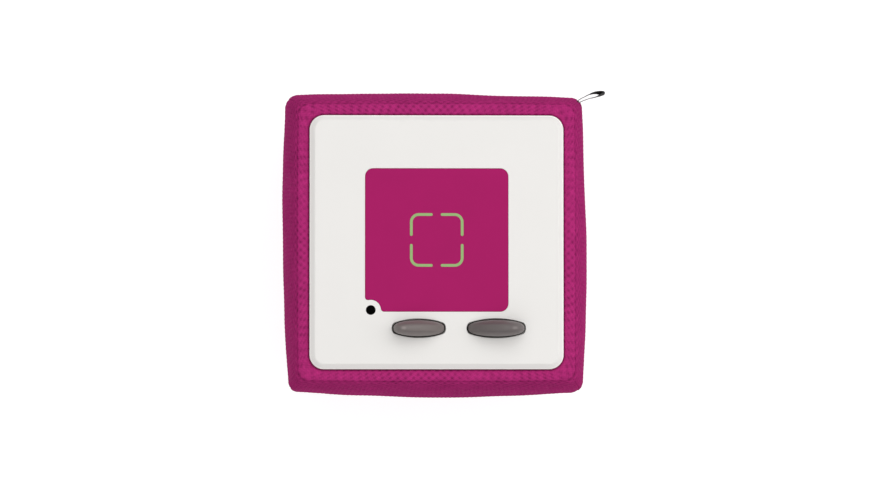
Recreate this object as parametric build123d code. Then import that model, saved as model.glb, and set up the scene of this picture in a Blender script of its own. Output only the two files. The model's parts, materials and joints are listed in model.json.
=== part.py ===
from build123d import *
import os

# Audio story player: a soft, fabric-covered box with a moulded carcass inside.
# Millimetres. The origin is the centre of the underside, +Z is up and -Y is the front.

# ---------------------------------------------------------------- driving dimensions
# whole body
body_height = 120.0  # floor to the face of the top plate
soft_gap = 0.3  # between soft pieces and their neighbours
seat_gap = 0.05  # between pieces that seat in one another

# top plate, which sets the width of the body
plate_width = 98.0
plate_corner_radius = 5.6
plate_bevel_width = 2.1
plate_bevel_drop = 1.5
plate_wall = 2.5
plate_rim_wall = 2.0
plate_rim_depth = 5.0  # face of the plate to the foot of its rim
pilot_roof = 0.5  # solid left over a blind screw hole

# knit cover
cover_seam_margin = 4.9  # edge of the plate to the seam along the top edges
cover_swell = 4.4  # seam to the corner at mid height
cover_belly = 1.7  # extra swell of each side between its corners
cover_seam_belly_share = 0.35  # of that swell, left at the seam
cover_corner_radius = 4.2
cover_thickness = 2.0
cover_edge_power = 4.0  # higher is a squarer edge
cover_top_drop = 2.6  # below the face of the top plate
cover_floor_gap = 2.6  # above the floor
cover_opening_gap = 0.35  # round the rims of the two plates
cover_levels = [-1, -0.94, -0.82, -0.55, 0, 0.55, 0.82, 0.94, 1]  # from bottom to top

# platform inlay
inlay_width = 55.2
inlay_corner_radius = 3.1
inlay_thickness = 1.2
inlay_shift = 0.8  # behind the plate's centre
notch_radius = 3.95  # round the headphone socket
notch_blend_radius = 1.2

# headphone socket, set in from the front left corner of the inlay
socket_inset_x = 2.2
socket_inset_y = 0.6
socket_mouth_radius = 1.87
socket_bore_radius = 1.8
socket_body_width = 8.6
socket_corner_cut = 0.8
socket_floor = 1.0

# ears, the two press keys
ear_setback = 6.4  # front edge of the inlay to the middle of the ears
ear_socket_gap = 2.9  # between the socket and the left plunger's flange
down_ear_length = 20.2
down_ear_width = 6.8
down_ear_height = 11.5
up_ear_x = 22.9
up_ear_length = 22.2
up_ear_width = 7.0
up_ear_height = 13.0
ear_end_share = 0.5  # end width as a share of the middle width
ear_crown_share = 0.11  # bulge of the ends as a share of the width
ear_corner_share = 0.2  # corner radius as a share of the width
ear_peak_share = 0.3  # of the length, from the middle to the outer end
ear_levels = [0, 0.2, 0.42, 0.62, 0.8, 0.92, 0.985]  # shares of the height
ear_outer_curve = (2.6, 0.43)  # exponents of the steep outer edge
ear_inner_curve = (1.5, 0.59)  # exponents of the sloping inner edge
ear_slim_curve = (2.4, 0.45)  # exponents of the thinning towards the tip
ear_tip_share = 0.2  # least thickness at the tip
ear_gap = 0.35  # round the ear in its slot
key_travel = 1.0
tongue_thickness = 1.6
tongue_height = 4.0
tongue_end_margin = 4.0

# key mechanism
plunger_lip = 1.2  # flange of the plunger beyond the ear
plunger_flange_thickness = 1.6
flange_gap = 0.1  # under the plate at rest
stem_radius = 2.0
stem_clearance = 0.08
guide_wall = 1.4
guide_depth = 1.4
frame_thickness = 2.0
frame_drop = 9.0  # face of the plate to the top of the frame
frame_margin = 2.4  # frame beyond the middle of its posts
frame_back = 6.0  # frame behind the middle of the ears
frame_socket_room = 1.5
switch_stem_radius = 1.6
switch_stem_length = 2.6
switch_reserve = 0.5  # plunger over the switch body at the end of its travel
switch_body_width = 6.0
switch_body_height = 2.5
switch_floor = 0.3
board_drop = 16.8  # face of the plate to the top of the control board
board_thickness = 1.2
board_back = 7.0  # control board behind the middle of the ears
board_socket_room = 1.8
light_length = 3.0
light_width = 1.6
light_height = 1.0
light_share = 0.32  # of the ear's length, from the middle outwards
spring_wire_radius = 0.25
spring_play = 0.5  # between the stem and the spring's inside
spring_turns = 3.0
post_radius = 2.1
post_gap = 1.0  # between an outer post and the plunger's flange
post_offsets = [-4.3, -7.2, 3.7]  # left, middle and right post from the ears' middle

# antenna and magnet under the platform
antenna_margin = 6.1  # inside the edges of the inlay
antenna_corner_radius = 2.0
antenna_thickness = 1.0
antenna_hole_radius = 11.5
coil_edge = 1.5  # edge of the board to the outer track
coil_track_width = 0.8
coil_track_height = 0.2
coil_turns = 3
magnet_radius = 9.0
magnet_height = 3.0
magnet_collar_wall = 1.4
magnet_collar_lip = 0.6  # collar below the magnet

# carcass
core_inset = 3.0  # inside the plate's edge
core_wall = 2.2
core_corner_radius = 5.0
flange_inset = 0.4
flange_thickness = 2.0
core_lap = 1.2  # lap joint between the two halves
core_lap_end = 4.0  # from each end of the carcass
lap_gap = 0.1
corner_post_inset = 3.6  # inside the carcass wall
corner_post_radius = 4.0
corner_post_height = 16.0
corner_post_roof = 4.0
lug_radius = 3.6
lug_key_gap = 1.6  # behind the key frame
lug_height = 6.0
lug_drop = 9.0  # face of the plate to the top of the lugs
wall_rib_places = [-32.0, -8.0, 8.0, 32.0]
wall_rib_depth = 1.6
wall_rib_thickness = 1.4
wall_rib_clearance = 6.0  # over the corner posts and under the lugs

# base plate
base_lift = 1.5
base_rim_depth = 5.0
base_boss_wall = 0.4  # base boss beyond the carcass post that lands on it
dock_radius = 23.0
dock_depth = 3.0
dock_ceiling = 2.0
dock_wall = 2.5
dock_contact_inset = 5.4  # from the wall of the recess
dock_contact_pitch = 8.0
dock_contact_radius = 2.0
dock_board_width = 26.0
dock_board_front = 4.0  # in front of the contacts
dock_board_back = 2.4  # behind the contacts
ring_outer_radius = 38.0
ring_inner_radius = 32.0
ring_groove_depth = 0.9
ring_gap = 0.1
ring_chamfer = 0.3

# loudspeaker, drawn about its own axis and then turned to face the front
speaker_z = 57.0
speaker_seat_depth = 3.0
speaker_opening_radius = 29.0
speaker_flange_lip = 5.0  # flange beyond the opening
speaker_flange_thickness = 1.2
speaker_corner_radius = 6.0
speaker_hole_inset = 5.5  # from the edge of the flange
speaker_boss_radius = 3.2
aperture_play = 2.0  # aperture in the carcass beyond the opening
speaker_collar_wall = 2.0
gasket_thickness = 1.0
basket_wall = 1.0
basket_depth = 17.0
basket_foot_lip = 1.0  # foot of the basket beyond the magnet
basket_shoulder = 2.0  # straight wall behind the flange
basket_windows = 4
basket_window_arc = 62.0
basket_window_margin = 3.0
terminal_width = 4.0
terminal_reach = 6.0
surround_roll_width = 4.0
surround_roll_height = 2.0
surround_wall = 0.5
cone_wall = 0.6
cone_drop = 1.2  # edge of the cone behind the flange's face
cone_travel = 1.5
coil_radius = 9.3
coil_wall = 0.5
coil_length = 11.0
coil_neck = 1.0  # coil above the cone's neck
cap_rise = 3.0
spider_waves = 4
spider_wave_height = 0.6
spider_wall = 0.5
spider_rise = 2.5  # over the foot of the basket
spider_ledge = 2.2
magnet_ring_radius = 18.0
magnet_ring_height = 8.0
magnet_bore_play = 2.0
washer_thickness = 3.0
yoke_thickness = 3.0
yoke_chamfer = 0.8
pole_gap = 0.35
grille_overlap = 3.0  # grille beyond the aperture
grille_thickness = 1.4
grille_centre_radius = 4.0
grille_edge = 5.0
grille_rings = 3
grille_slot_share = 0.62  # of the pitch of the rings
grille_spokes = 6
grille_spoke_width = 1.8

# battery
cell_radius = 7.15
cell_length = 50.4
cell_button_radius = 2.7
cell_button_height = 1.4
cell_count = 3
cell_spacing = 0.3
cell_clearance = 0.1
tray_floor = 0.9
tray_depth = 5.5
tray_end_wall = 1.6
tray_side_wall = 1.5
tray_dock_gap = 0.7  # behind the dock board
tray_ear_radius = 3.4
tray_ear_thickness = 2.0
tray_screw_reach = 3.6  # beyond the end of the tray
tray_screw_y = 13.0
tray_boss_radius = 3.0
tray_pilot_depth = 0.8
strap_width = 12.0
strap_thickness = 1.2
strap_foot = 1.0  # over the dock's ceiling

# main board
main_board_margin = 6.8  # inside the carcass walls
main_board_height = 60.0
main_board_z = 66.0
main_board_thickness = 1.6
main_board_standoff = 4.0
standoff_radius = 3.0
main_board_hole_inset = 5.0
connector_width = 8.0
connector_height = 6.0
connector_depth = 5.0
connector_edge = 1.0
low_connectors = [-24.0, -10.0, 4.0, 18.0]
high_connectors = [22.0]
board_can_radius = 3.1
board_can_height = 8.0
board_can_places = [16.0, 24.0]
board_can_drop = 14.0
board_chips = [  # left, width, height over the board's middle, tall, thick
    (-10.0, 20.0, -4.0, 26.0, 3.0),
    (-30.0, 12.0, -12.0, 14.0, 2.0),
    (16.0, 9.0, -2.0, 9.0, 1.4),
    (-29.0, 7.0, 8.0, 7.0, 1.2),
]

# leads inside the carcass: radius of the twin lead, of the thin lead, and of their bends
lead_radius = 0.9
lead_sides = 8
thin_lead_radius = 0.5
lead_bend = 3.0
thin_lead_bend = 1.6
lead_rise = 8.0  # over the cells
lead_stand_off = 8.0  # beyond the end of the tray
lead_drop = 8.0  # below the control board
antenna_lead_rise = 4.0  # over the control board
antenna_lead_inset = 2.0  # from the back edge of the control board
control_lead_inset = 6.0  # beside the connector of the main board

# hang loop
loop_width = 10.0
loop_length = 11.0
loop_thickness = 0.45
loop_tip_radius = 0.85
loop_tail = 4.5
loop_drop = 16.0  # face of the plate to the middle of the loop
loop_angle = 17.0  # of the loop's run from +X towards +Y
loop_slit_gap = 0.1
loop_tail_play = 0.7  # round the tail in the foam

# fasteners: shank radius, head radius, head height
screw_play = 0.05
head_play = 0.2
head_recess = 0.3
large_screw = (1.5, 2.9, 1.7)
medium_screw = (1.25, 2.4, 1.5)
small_screw = (0.95, 1.8, 1.3)
base_screw_length = 12.0
top_screw_length = 11.0
key_screw_length = 14.5
tray_screw_length = 4.6
main_board_screw_length = 4.6

# ---------------------------------------------------------------- derived places
plate_top = body_height
plate_under = plate_top - plate_wall
plate_foot = plate_top - plate_rim_depth
plate_inner = plate_width - 2 * plate_rim_wall
base_inner = base_lift + plate_wall
base_rim_top = base_lift + base_rim_depth

cover_seam_half = plate_width / 2 + cover_seam_margin
cover_corner_half = cover_seam_half + cover_swell
cover_top = plate_top - cover_top_drop
cover_middle = (cover_top + cover_floor_gap) / 2
opening_width = plate_width + 2 * cover_opening_gap
opening_radius = plate_corner_radius + cover_opening_gap
loop_z = plate_top - loop_drop

core_half = plate_width / 2 - core_inset
core_width = 2 * core_half
core_inner = core_half - core_wall
flange_width = plate_width - 2 * flange_inset
corner_post_offset = core_inner - corner_post_inset
corner_post_top = base_rim_top + corner_post_height
lug_top = plate_top - lug_drop
lug_under = lug_top - lug_height

inlay_front = inlay_shift - inlay_width / 2
socket_x = socket_inset_x - inlay_width / 2
socket_y = inlay_front + socket_inset_y
socket_half = socket_body_width / 2
ear_y = inlay_front - ear_setback
frame_top = plate_top - frame_drop
frame_under = frame_top - frame_thickness
board_top = plate_top - board_drop
board_under = board_top - board_thickness
flange_top = plate_under - flange_gap
flange_under = flange_top - plunger_flange_thickness
switch_top = board_top + switch_body_height
switch_stem_top = switch_top + key_travel + switch_reserve
spring_radius = stem_radius + spring_play + spring_wire_radius
post_reach = plunger_lip + post_gap + post_radius
down_ear_half = down_ear_length / 2
up_ear_half = up_ear_length / 2
down_ear_x = socket_x + socket_half + ear_socket_gap + plunger_lip + down_ear_half
lug_offset = -(ear_y + frame_back + lug_key_gap + lug_radius)
antenna_width = inlay_width - 2 * antenna_margin
posts = [
    (down_ear_x - down_ear_half - post_reach, ear_y + post_offsets[0]),
    ((down_ear_x + down_ear_half + up_ear_x - up_ear_half) / 2, ear_y + post_offsets[1]),
    (up_ear_x + up_ear_half + post_reach, ear_y + post_offsets[2]),
]

dock_ceiling_z = base_lift + dock_depth
dock_pan_top = dock_ceiling_z + dock_ceiling
dock_contact_y = dock_contact_inset - dock_radius
ring_seat = base_lift + ring_groove_depth

speaker_flange_half = speaker_opening_radius + speaker_flange_lip
speaker_hole_offset = speaker_flange_half - speaker_hole_inset
speaker_aperture_radius = speaker_opening_radius + aperture_play
speaker_face_y = speaker_seat_depth - core_inner
cone_outer_radius = speaker_opening_radius - surround_roll_width
grille_radius = speaker_aperture_radius + grille_overlap
basket_foot_radius = magnet_ring_radius + basket_foot_lip
terminal_offset = speaker_opening_radius * 0.5**0.5 + terminal_width / 2

cell_pitch = 2 * cell_radius + cell_spacing
tray_half_length = cell_length / 2 + cell_clearance + tray_end_wall
tray_half_width = (cell_count - 1) * cell_pitch / 2 + cell_radius + tray_side_wall
strap_reach = tray_half_width + seat_gap + strap_thickness
tray_y = dock_contact_y + dock_board_back + tray_dock_gap + strap_reach
tray_bottom = dock_pan_top
tray_top = tray_bottom + tray_depth
cell_z = tray_bottom + tray_floor + cell_radius + cell_clearance

main_board_half = core_inner - main_board_margin
main_board_back = core_inner - main_board_standoff
main_board_face = main_board_back - main_board_thickness
main_board_low = main_board_z - main_board_height / 2
main_board_high = main_board_z + main_board_height / 2
connector_front = main_board_face - connector_depth
low_connector_z = main_board_low + connector_edge + connector_height / 2
high_connector_z = main_board_high - connector_edge - connector_height / 2

corner_signs = [(-1, -1), (1, -1), (1, 1), (-1, 1)]

KEYS = {
    "volume_down": (down_ear_x, down_ear_length, down_ear_width, down_ear_height, -1),
    "volume_up": (up_ear_x, up_ear_length, up_ear_width, up_ear_height, 1),
}


# ---------------------------------------------------------------- shared shapes
def rounded_prism(width, radius, low, high):
    """Square prism with rounded corners between two levels."""
    return Pos(0, 0, low) * extrude(RectangleRounded(width, width, radius), high - low)


def rod(x, y, low, high, radius):
    """Upright cylinder between two levels."""
    return Pos(x, y, (low + high) / 2) * Cylinder(radius, high - low)


def tube(low, high, outer, inner):
    """Upright hollow cylinder on the axis between two levels."""
    return rod(0, 0, low, high, outer) - rod(0, 0, low, high, inner)


def block(x, y, z):
    """Box from three (low, high) pairs."""
    size = [pair[1] - pair[0] for pair in (x, y, z)]
    middle = [(pair[1] + pair[0]) / 2 for pair in (x, y, z)]
    return Pos(*middle) * Box(*size)


def about(middle, width):
    """Low and high ends of a span about its middle."""
    return middle - width / 2, middle + width / 2


def corners(x, y):
    """The four places at plus and minus x and y."""
    return [(sx * x, sy * y) for sx, sy in corner_signs]


def turned(points):
    """Solid turned about the vertical axis from a closed profile of (radius, height)."""
    return revolve(Plane.XZ * make_face(Polyline(*points, points[0])), Axis.Z)


def screw(kind, length):
    """Screw that points up: the head's seat is at zero and the shank rises from it."""
    shank_radius, head_radius, head_height = kind
    return rod(0, 0, -head_height, 0, head_radius) + rod(0, 0, 0, length, shank_radius)


def lead(points, radius, bend):
    """Lead that follows straight runs joined by round bends."""
    path = FilletPolyline(*points, radius=bend)
    section = Plane(path @ 0, z_dir=path % 0) * RegularPolygon(radius, lead_sides)
    return sweep(section, path)


def save(name, shapes):
    """Writes one node, made of one or more separate solids."""
    group = shapes if isinstance(shapes, list) else [shapes]
    solids = [solid for shape in group for solid in shape.solids()]
    node = solids[0] if len(solids) == 1 else Compound(children=solids)
    export_step(node, os.path.join("parts", name + ".step"))


# ---------------------------------------------------------------- soft body
def cover_section(share, inset):
    """Level slice of the padded body: bowed sides between rounded corners."""
    swell = 1 - abs(share) ** cover_edge_power
    corner = cover_seam_half + cover_swell * swell - inset
    belly = cover_belly * (cover_seam_belly_share + (1 - cover_seam_belly_share) * swell)
    side = ThreePointArc((-corner, -corner), (0, -corner - belly), (corner, -corner))
    outline = [Rot(0, 0, 90 * turn) * side for turn in range(4)]
    face = make_face(Curve() + outline)
    return fillet(face.vertices(), cover_corner_radius - inset / 2)


def padded_body(inset, low, high):
    """Swollen square body between two levels, drawn in by an inset."""
    half = (cover_top - cover_floor_gap) / 2
    slices = []
    for share in cover_levels:
        level = (low + high) / 2 + share * (high - low) / 2
        slices.append(Pos(0, 0, level) * cover_section((level - cover_middle) / half, inset))
    return loft(slices, ruled=True)


def loop_path(offset):
    """Plan outline of the folded ribbon: a drop with its point at the seam."""
    tip = loop_length - loop_tip_radius
    radius = loop_tip_radius - offset
    root = max(loop_thickness - offset, 0.02)
    upper = Line((0, root), (tip, radius))
    tip_arc = ThreePointArc((tip, radius), (tip + radius, 0), (tip, -radius))
    lower = Line((tip, -radius), (0, -root))
    closing = Line((0, -root), (0, root))
    return make_face(Curve() + [upper, tip_arc, lower, closing])


def loop_place():
    """Where the ribbon leaves the back right corner of the cover."""
    corner = cover_corner_half - cover_corner_radius * (1 - 0.5**0.5)
    return Pos(corner, corner, loop_z) * Rot(0, 0, loop_angle)


def build_hang_loop():
    """Ribbon folded over on itself, with its tail through the corner seam."""
    ring = extrude(loop_path(0) - loop_path(loop_thickness), loop_width)
    tail = block(
        (-loop_tail, loop_thickness), (-loop_thickness, loop_thickness), (0, loop_width)
    )
    return loop_place() * Pos(0, 0, -loop_width / 2) * (ring + tail)


def build_cover():
    """Sewn knit cover, open round the top plate and the base plate."""
    wall = cover_thickness
    shell = padded_body(0, cover_floor_gap, cover_top)
    shell -= padded_body(wall, cover_floor_gap + wall, cover_top - wall)
    shell -= rounded_prism(opening_width, opening_radius, cover_top - 2 * wall, plate_top)
    shell -= rounded_prism(opening_width, opening_radius, 0, base_rim_top)
    slit = Box(
        4 * loop_tail, 2 * (loop_thickness + loop_slit_gap), loop_width + 2 * loop_slit_gap
    )
    return shell - loop_place() * slit


def build_foam_pads():
    """Four foam panels, mitred at the corners, between the carcass and the cover."""
    inset = cover_thickness + soft_gap
    low = cover_floor_gap + inset
    high = cover_top - inset
    edge = flange_thickness + soft_gap
    body = padded_body(inset, low, high)
    body -= rounded_prism(core_width + 2 * soft_gap, core_corner_radius, 0, plate_top)
    body -= rounded_prism(opening_width, plate_corner_radius, plate_foot - edge, plate_top)
    body -= rounded_prism(opening_width, plate_corner_radius, 0, base_rim_top + edge)
    reach = 2 * cover_corner_half
    wedge = make_face(Polyline((0, 0), (-reach, -reach), (reach, -reach), (0, 0)))
    front = body & Pos(0, -soft_gap, 0) * extrude(wedge, body_height)
    tail_width = 2 * (loop_thickness + loop_tail_play)
    tail_room = loop_place() * Box(3 * loop_tail, tail_width, loop_width + 2 * loop_tail_play)
    pads = {}
    for turn, side in enumerate(["front", "right", "back", "left"]):
        pads[side] = Rot(0, 0, 90 * turn) * front - tail_room
    opening = facing_front(-core_half, speaker_z) * Cylinder(grille_radius + 1, core_width)
    pads["front"] -= opening
    return pads


# ---------------------------------------------------------------- plates
def inlay_outline(grow):
    """Rounded square with a round notch about the headphone socket."""
    width = inlay_width + 2 * grow
    square = Pos(0, inlay_shift) * RectangleRounded(width, width, inlay_corner_radius + grow)
    outline = square - Pos(socket_x, socket_y) * Circle(notch_radius - grow)
    near = outline.vertices().sort_by_distance(Vector(socket_x, socket_y))
    return fillet(near[:2], notch_blend_radius)


def ear_outline(length, width, grow):
    """Barrel shape of an ear seen from above, with blunt crowned ends."""
    side = length / 2 - ear_crown_share * width + grow
    end = length / 2 + grow
    middle = width / 2 + grow
    half_end = width * ear_end_share / 2 + grow
    edges = [
        ThreePointArc((side, half_end), (0, middle), (-side, half_end)),
        ThreePointArc((-side, half_end), (-end, 0), (-side, -half_end)),
        ThreePointArc((-side, -half_end), (0, -middle), (side, -half_end)),
        ThreePointArc((side, -half_end), (end, 0), (side, half_end)),
    ]
    face = make_face(Curve() + edges)
    return fillet(face.vertices(), width * ear_corner_share + grow)


def plate_blank(low, high):
    """Rounded square plate with a bevelled upper edge."""
    blank = rounded_prism(plate_width, plate_corner_radius, low, high)
    edges = blank.faces().sort_by(Axis.Z)[-1].edges()
    return chamfer(edges, plate_bevel_drop, plate_bevel_width)


def build_top_plate():
    """White plate: rim, inlay recess, ear slots, socket hole, bosses and magnet collar."""
    plate = plate_blank(plate_foot, plate_top)
    plate -= rounded_prism(plate_inner, plate_corner_radius - plate_rim_wall, 0, plate_under)
    bosses = [(x, y, frame_top, post_radius, small_screw[0]) for x, y in posts]
    for x, y in corners(corner_post_offset, lug_offset):
        bosses.append((x, y, lug_top, lug_radius, medium_screw[0]))
    for x, y, foot, radius, _ in bosses:
        plate += rod(x, y, foot, plate_under, radius)
    collar_foot = plate_under - magnet_height - magnet_collar_lip
    collar_bore = magnet_radius + seat_gap
    collar = tube(collar_foot, plate_under, collar_bore + magnet_collar_wall, collar_bore)
    plate += Pos(0, inlay_shift, 0) * collar
    plate -= Pos(0, 0, plate_top - inlay_thickness) * extrude(inlay_outline(seat_gap), plate_wall)
    plate -= rod(socket_x, socket_y, plate_foot, plate_top + 1, socket_mouth_radius)
    for x, length, width, _, _ in KEYS.values():
        slot = extrude(ear_outline(length, width, ear_gap), 2 * plate_wall)
        plate -= Pos(x, ear_y, plate_under - plate_wall / 2) * slot
    for x, y, foot, _, shank in bosses:
        plate -= rod(x, y, foot, plate_under - pilot_roof, shank + screw_play)
    return plate


def build_inlay():
    """Thin coloured platform that the figure stands on."""
    inlay = extrude(inlay_outline(0), inlay_thickness)
    return Pos(0, 0, plate_top - inlay_thickness) * inlay


def build_base_plate():
    """Underside plate with a round dock recess, a foot groove and screw bosses."""
    plate = Rot(180, 0, 0) * plate_blank(-base_rim_top, -base_lift)
    inner_radius = plate_corner_radius - plate_rim_wall
    plate -= rounded_prism(plate_inner, inner_radius, base_inner, plate_top)
    plate += rod(0, 0, base_inner, dock_pan_top, dock_radius + dock_wall)
    plate -= rod(0, 0, 0, dock_ceiling_z, dock_radius)
    plate -= tube(0, ring_seat, ring_outer_radius + ring_gap, ring_inner_radius - ring_gap)
    shank, head, head_height = large_screw
    for x, y in corners(corner_post_offset, corner_post_offset):
        plate += rod(x, y, base_inner, base_rim_top, corner_post_radius + base_boss_wall)
        plate -= rod(x, y, 0, base_lift + head_height + head_recess, head + head_play)
        plate -= rod(x, y, 0, base_rim_top, shank + screw_play)
    for x, y in tray_points():
        plate += rod(x, y, base_inner, dock_pan_top, tray_boss_radius)
        pilot = medium_screw[0] + screw_play
        plate -= rod(x, y, base_inner - tray_pilot_depth, dock_pan_top, pilot)
    for x in contact_places():
        plate -= rod(x, dock_contact_y, 0, dock_pan_top, dock_contact_radius + seat_gap)
    return plate


def build_non_slip_ring():
    """Rubber ring that the player stands on."""
    ring = tube(0, ring_seat, ring_outer_radius, ring_inner_radius)
    return chamfer(ring.edges().group_by(Axis.Z)[0], ring_chamfer)


# ---------------------------------------------------------------- carcass
def build_core():
    """Carcass halves: a square tube with flanges, split across the middle with a lap."""
    radius = core_corner_radius
    case = rounded_prism(core_width, radius, base_rim_top, plate_foot)
    for low in (base_rim_top, plate_foot - flange_thickness):
        case += rounded_prism(flange_width, plate_corner_radius, low, low + flange_thickness)
    case -= rounded_prism(2 * core_inner, radius - core_wall, 0, plate_top)
    bounds = rounded_prism(core_width - core_wall, radius, 0, body_height)
    pilot = large_screw[0] + screw_play
    for x, y in corners(corner_post_offset, corner_post_offset):
        post = rod(x, y, base_rim_top, corner_post_top, corner_post_radius)
        case += post & bounds
        case -= rod(x, y, base_rim_top, corner_post_top - corner_post_roof, pilot)
    for x, y in corners(corner_post_offset, lug_offset):
        wall = x / corner_post_offset * (core_inner + core_wall / 2)
        lug = rod(x, y, lug_under, lug_top, lug_radius)
        lug += block(sorted((x, wall)), about(y, 2 * lug_radius), (lug_under, lug_top))
        case += lug - rod(x, y, lug_under, lug_top, medium_screw[0] + screw_play)
    rib_levels = (corner_post_top + wall_rib_clearance, lug_under - wall_rib_clearance)
    for side in (-1, 1):
        rib = sorted(
            (side * (core_inner - wall_rib_depth), side * (core_inner + core_wall / 2))
        )
        for rib_y in wall_rib_places:
            case += block(rib, about(rib_y, wall_rib_thickness), rib_levels)
    reach = flange_width
    front = case & block((-reach, reach), (-reach, 0), (0, body_height))
    rear = case & block((-reach, reach), (0, reach), (0, body_height))
    low, high = base_rim_top + core_lap_end, plate_foot - core_lap_end
    for side in (-1, 1):
        inner, outer = side * core_inner, side * (core_inner + core_wall / 2)
        rear += block(sorted((inner, outer)), (-core_lap, core_lap), (low, high))
        cut = sorted((inner, outer + side * lap_gap))
        front -= block(cut, (-core_lap - lap_gap, 0), (low - lap_gap, high + lap_gap))
    return add_speaker_seat(front), add_board_standoffs(rear)


def facing_front(y, z):
    """Frame whose own +Z points out of the front, at a depth and a height."""
    return Pos(0, y, z) * Rot(90, 0, 0)


def add_speaker_seat(front):
    """Aperture, collar, screw bosses and grille rebate in the front wall."""
    seat = facing_front(-core_inner, speaker_z)
    places = corners(speaker_hole_offset, speaker_hole_offset)
    collar_foot = gasket_thickness - speaker_seat_depth
    front += seat * rod(0, 0, collar_foot, 0, speaker_aperture_radius + speaker_collar_wall)
    for x, z in places:
        front += seat * rod(x, z, -speaker_seat_depth, 0, speaker_boss_radius)
    front -= seat * Cylinder(speaker_aperture_radius, 4 * core_wall + speaker_seat_depth)
    rebate = rod(0, 0, core_wall - grille_thickness, core_wall, grille_radius + seat_gap)
    front -= seat * rebate
    for x, z in places:
        pilot = medium_screw[0] + screw_play
        front -= seat * rod(x, z, -speaker_seat_depth, core_wall / 2, pilot)
    return front


def add_board_standoffs(rear):
    """Standoffs of the main board on the rear wall."""
    for x, z in main_board_points():
        place = facing_front(core_inner, z) * Pos(x, 0, 0)
        rear += place * rod(0, 0, 0, main_board_standoff, standoff_radius)
        rear -= place * rod(0, 0, 0, main_board_standoff, medium_screw[0] + screw_play)
    return rear


def build_grille():
    """Moulded grille: concentric slots between spokes."""
    t = grille_thickness
    disc = rod(0, 0, 0, t, grille_radius)
    pitch = (speaker_aperture_radius - grille_edge) / grille_rings
    spokes = [
        Rot(0, 0, 360 / grille_spokes * step)
        * block((0, grille_radius), about(0, grille_spoke_width), (0, t))
        for step in range(grille_spokes)
    ]
    for ring in range(grille_rings):
        inner = grille_centre_radius + pitch * ring
        slot = tube(0, t, inner + pitch * grille_slot_share, inner)
        for spoke in spokes:
            slot -= spoke
        disc -= slot
    return facing_front(-core_inner, speaker_z) * Pos(0, 0, core_wall - t) * disc


# ---------------------------------------------------------------- keys
def build_ear(x, length, width, height, outward):
    """Rubber ear: a barrel plan that draws in to a crown near its outer end."""
    rise = plate_top - flange_top
    stem = extrude(ear_outline(length, width, 0), rise)
    peak = outward * length * ear_peak_share
    levels = []
    for share in ear_levels:
        power, root = ear_outer_curve
        outer = peak + (outward * length / 2 - peak) * (1 - share**power) ** root
        power, root = ear_inner_curve
        inner = peak - (outward * length / 2 + peak) * (1 - share**power) ** root
        power, root = ear_slim_curve
        slim = max((1 - share**power) ** root, ear_tip_share)
        outline = ear_outline(abs(outer - inner), width * slim, 0)
        levels.append(Pos((outer + inner) / 2, 0, rise + height * share) * outline)
    socket = block(
        about(0, length - 2 * tongue_end_margin + 2 * seat_gap),
        about(0, tongue_thickness + 2 * seat_gap),
        (0, tongue_height + seat_gap),
    )
    return Pos(x, ear_y, flange_top) * (stem + loft(levels) - socket)


def build_plunger(x, length, width):
    """Carrier of the ear: tongue, flange under the plate and a round stem."""
    flange = extrude(ear_outline(length, width, plunger_lip), plunger_flange_thickness)
    plunger = Pos(x, ear_y, flange_under) * flange
    plunger += block(
        about(x, length - 2 * tongue_end_margin),
        about(ear_y, tongue_thickness),
        (flange_top, flange_top + tongue_height),
    )
    return plunger + rod(x, ear_y, switch_stem_top, flange_under, stem_radius)


def build_spring(x):
    """Coil spring round the stem, from the frame to the plunger's flange."""
    seat = spring_wire_radius + seat_gap
    length = flange_under - frame_top - 2 * seat
    helix = Helix(length / spring_turns, length, spring_radius)
    section = Plane(helix @ 0, z_dir=helix % 0) * RegularPolygon(spring_wire_radius, 6)
    return Pos(x, ear_y, frame_top + seat) * sweep(section, helix)


def build_key_frame():
    """Moulded frame that guides the two plungers, clamped under the plate's posts."""
    left, right = posts[0][0] - frame_margin, posts[2][0] + frame_margin
    front, back = posts[1][1] - frame_margin, ear_y + frame_back
    socket_side = socket_x + socket_half + frame_socket_room
    socket_front = socket_y - socket_half - frame_socket_room
    levels = (frame_under, frame_top)
    frame = block((socket_side, right), (front, back), levels)
    frame += block((left, socket_side), (front, socket_front), levels)
    for x, y in posts:
        frame += rod(x, y, board_top, frame_under, post_radius)
    bore = stem_radius + stem_clearance
    for x, *_ in KEYS.values():
        frame += rod(x, ear_y, frame_under - guide_depth, frame_under, bore + guide_wall)
        frame -= rod(x, ear_y, 0, frame_top, bore)
    for x, y in posts:
        frame -= rod(x, y, 0, frame_top, small_screw[0] + screw_play)
    return frame


def build_switches():
    """Low switch bodies on the control board, each with a well for its stem."""
    bodies = []
    well = switch_stem_radius + stem_clearance
    for x, *_ in KEYS.values():
        spans = (about(x, switch_body_width), about(ear_y, switch_body_width))
        body = block(*spans, (board_top, switch_top))
        bodies.append(body - rod(x, ear_y, board_top + switch_floor, switch_top, well))
    return bodies


def build_switch_stem(x):
    """Stem of a key switch, under the plunger."""
    low = switch_stem_top - switch_stem_length
    return rod(x, ear_y, low, switch_stem_top, switch_stem_radius)


def build_control_board():
    """Board under the keys, with a lobe for the headphone socket."""
    room = socket_half + board_socket_room
    left, right = socket_x - room, posts[2][0] + frame_margin
    front = posts[1][1] - frame_margin
    levels = (board_under, board_top)
    board = block((left, right), (front, ear_y + board_back), levels)
    board += block((left, socket_x + room), (front, socket_y + room), levels)
    for x, y in posts:
        board -= rod(x, y, *levels, small_screw[0] + screw_play)
    return board


def build_leds():
    """Status lights on the board, beside each ear's switch."""
    lights = []
    for x, length, *_, outward in KEYS.values():
        spans = (
            about(x + outward * length * light_share, light_length),
            about(ear_y, light_width),
        )
        lights.append(block(*spans, (board_top, board_top + light_height)))
    return lights


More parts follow.
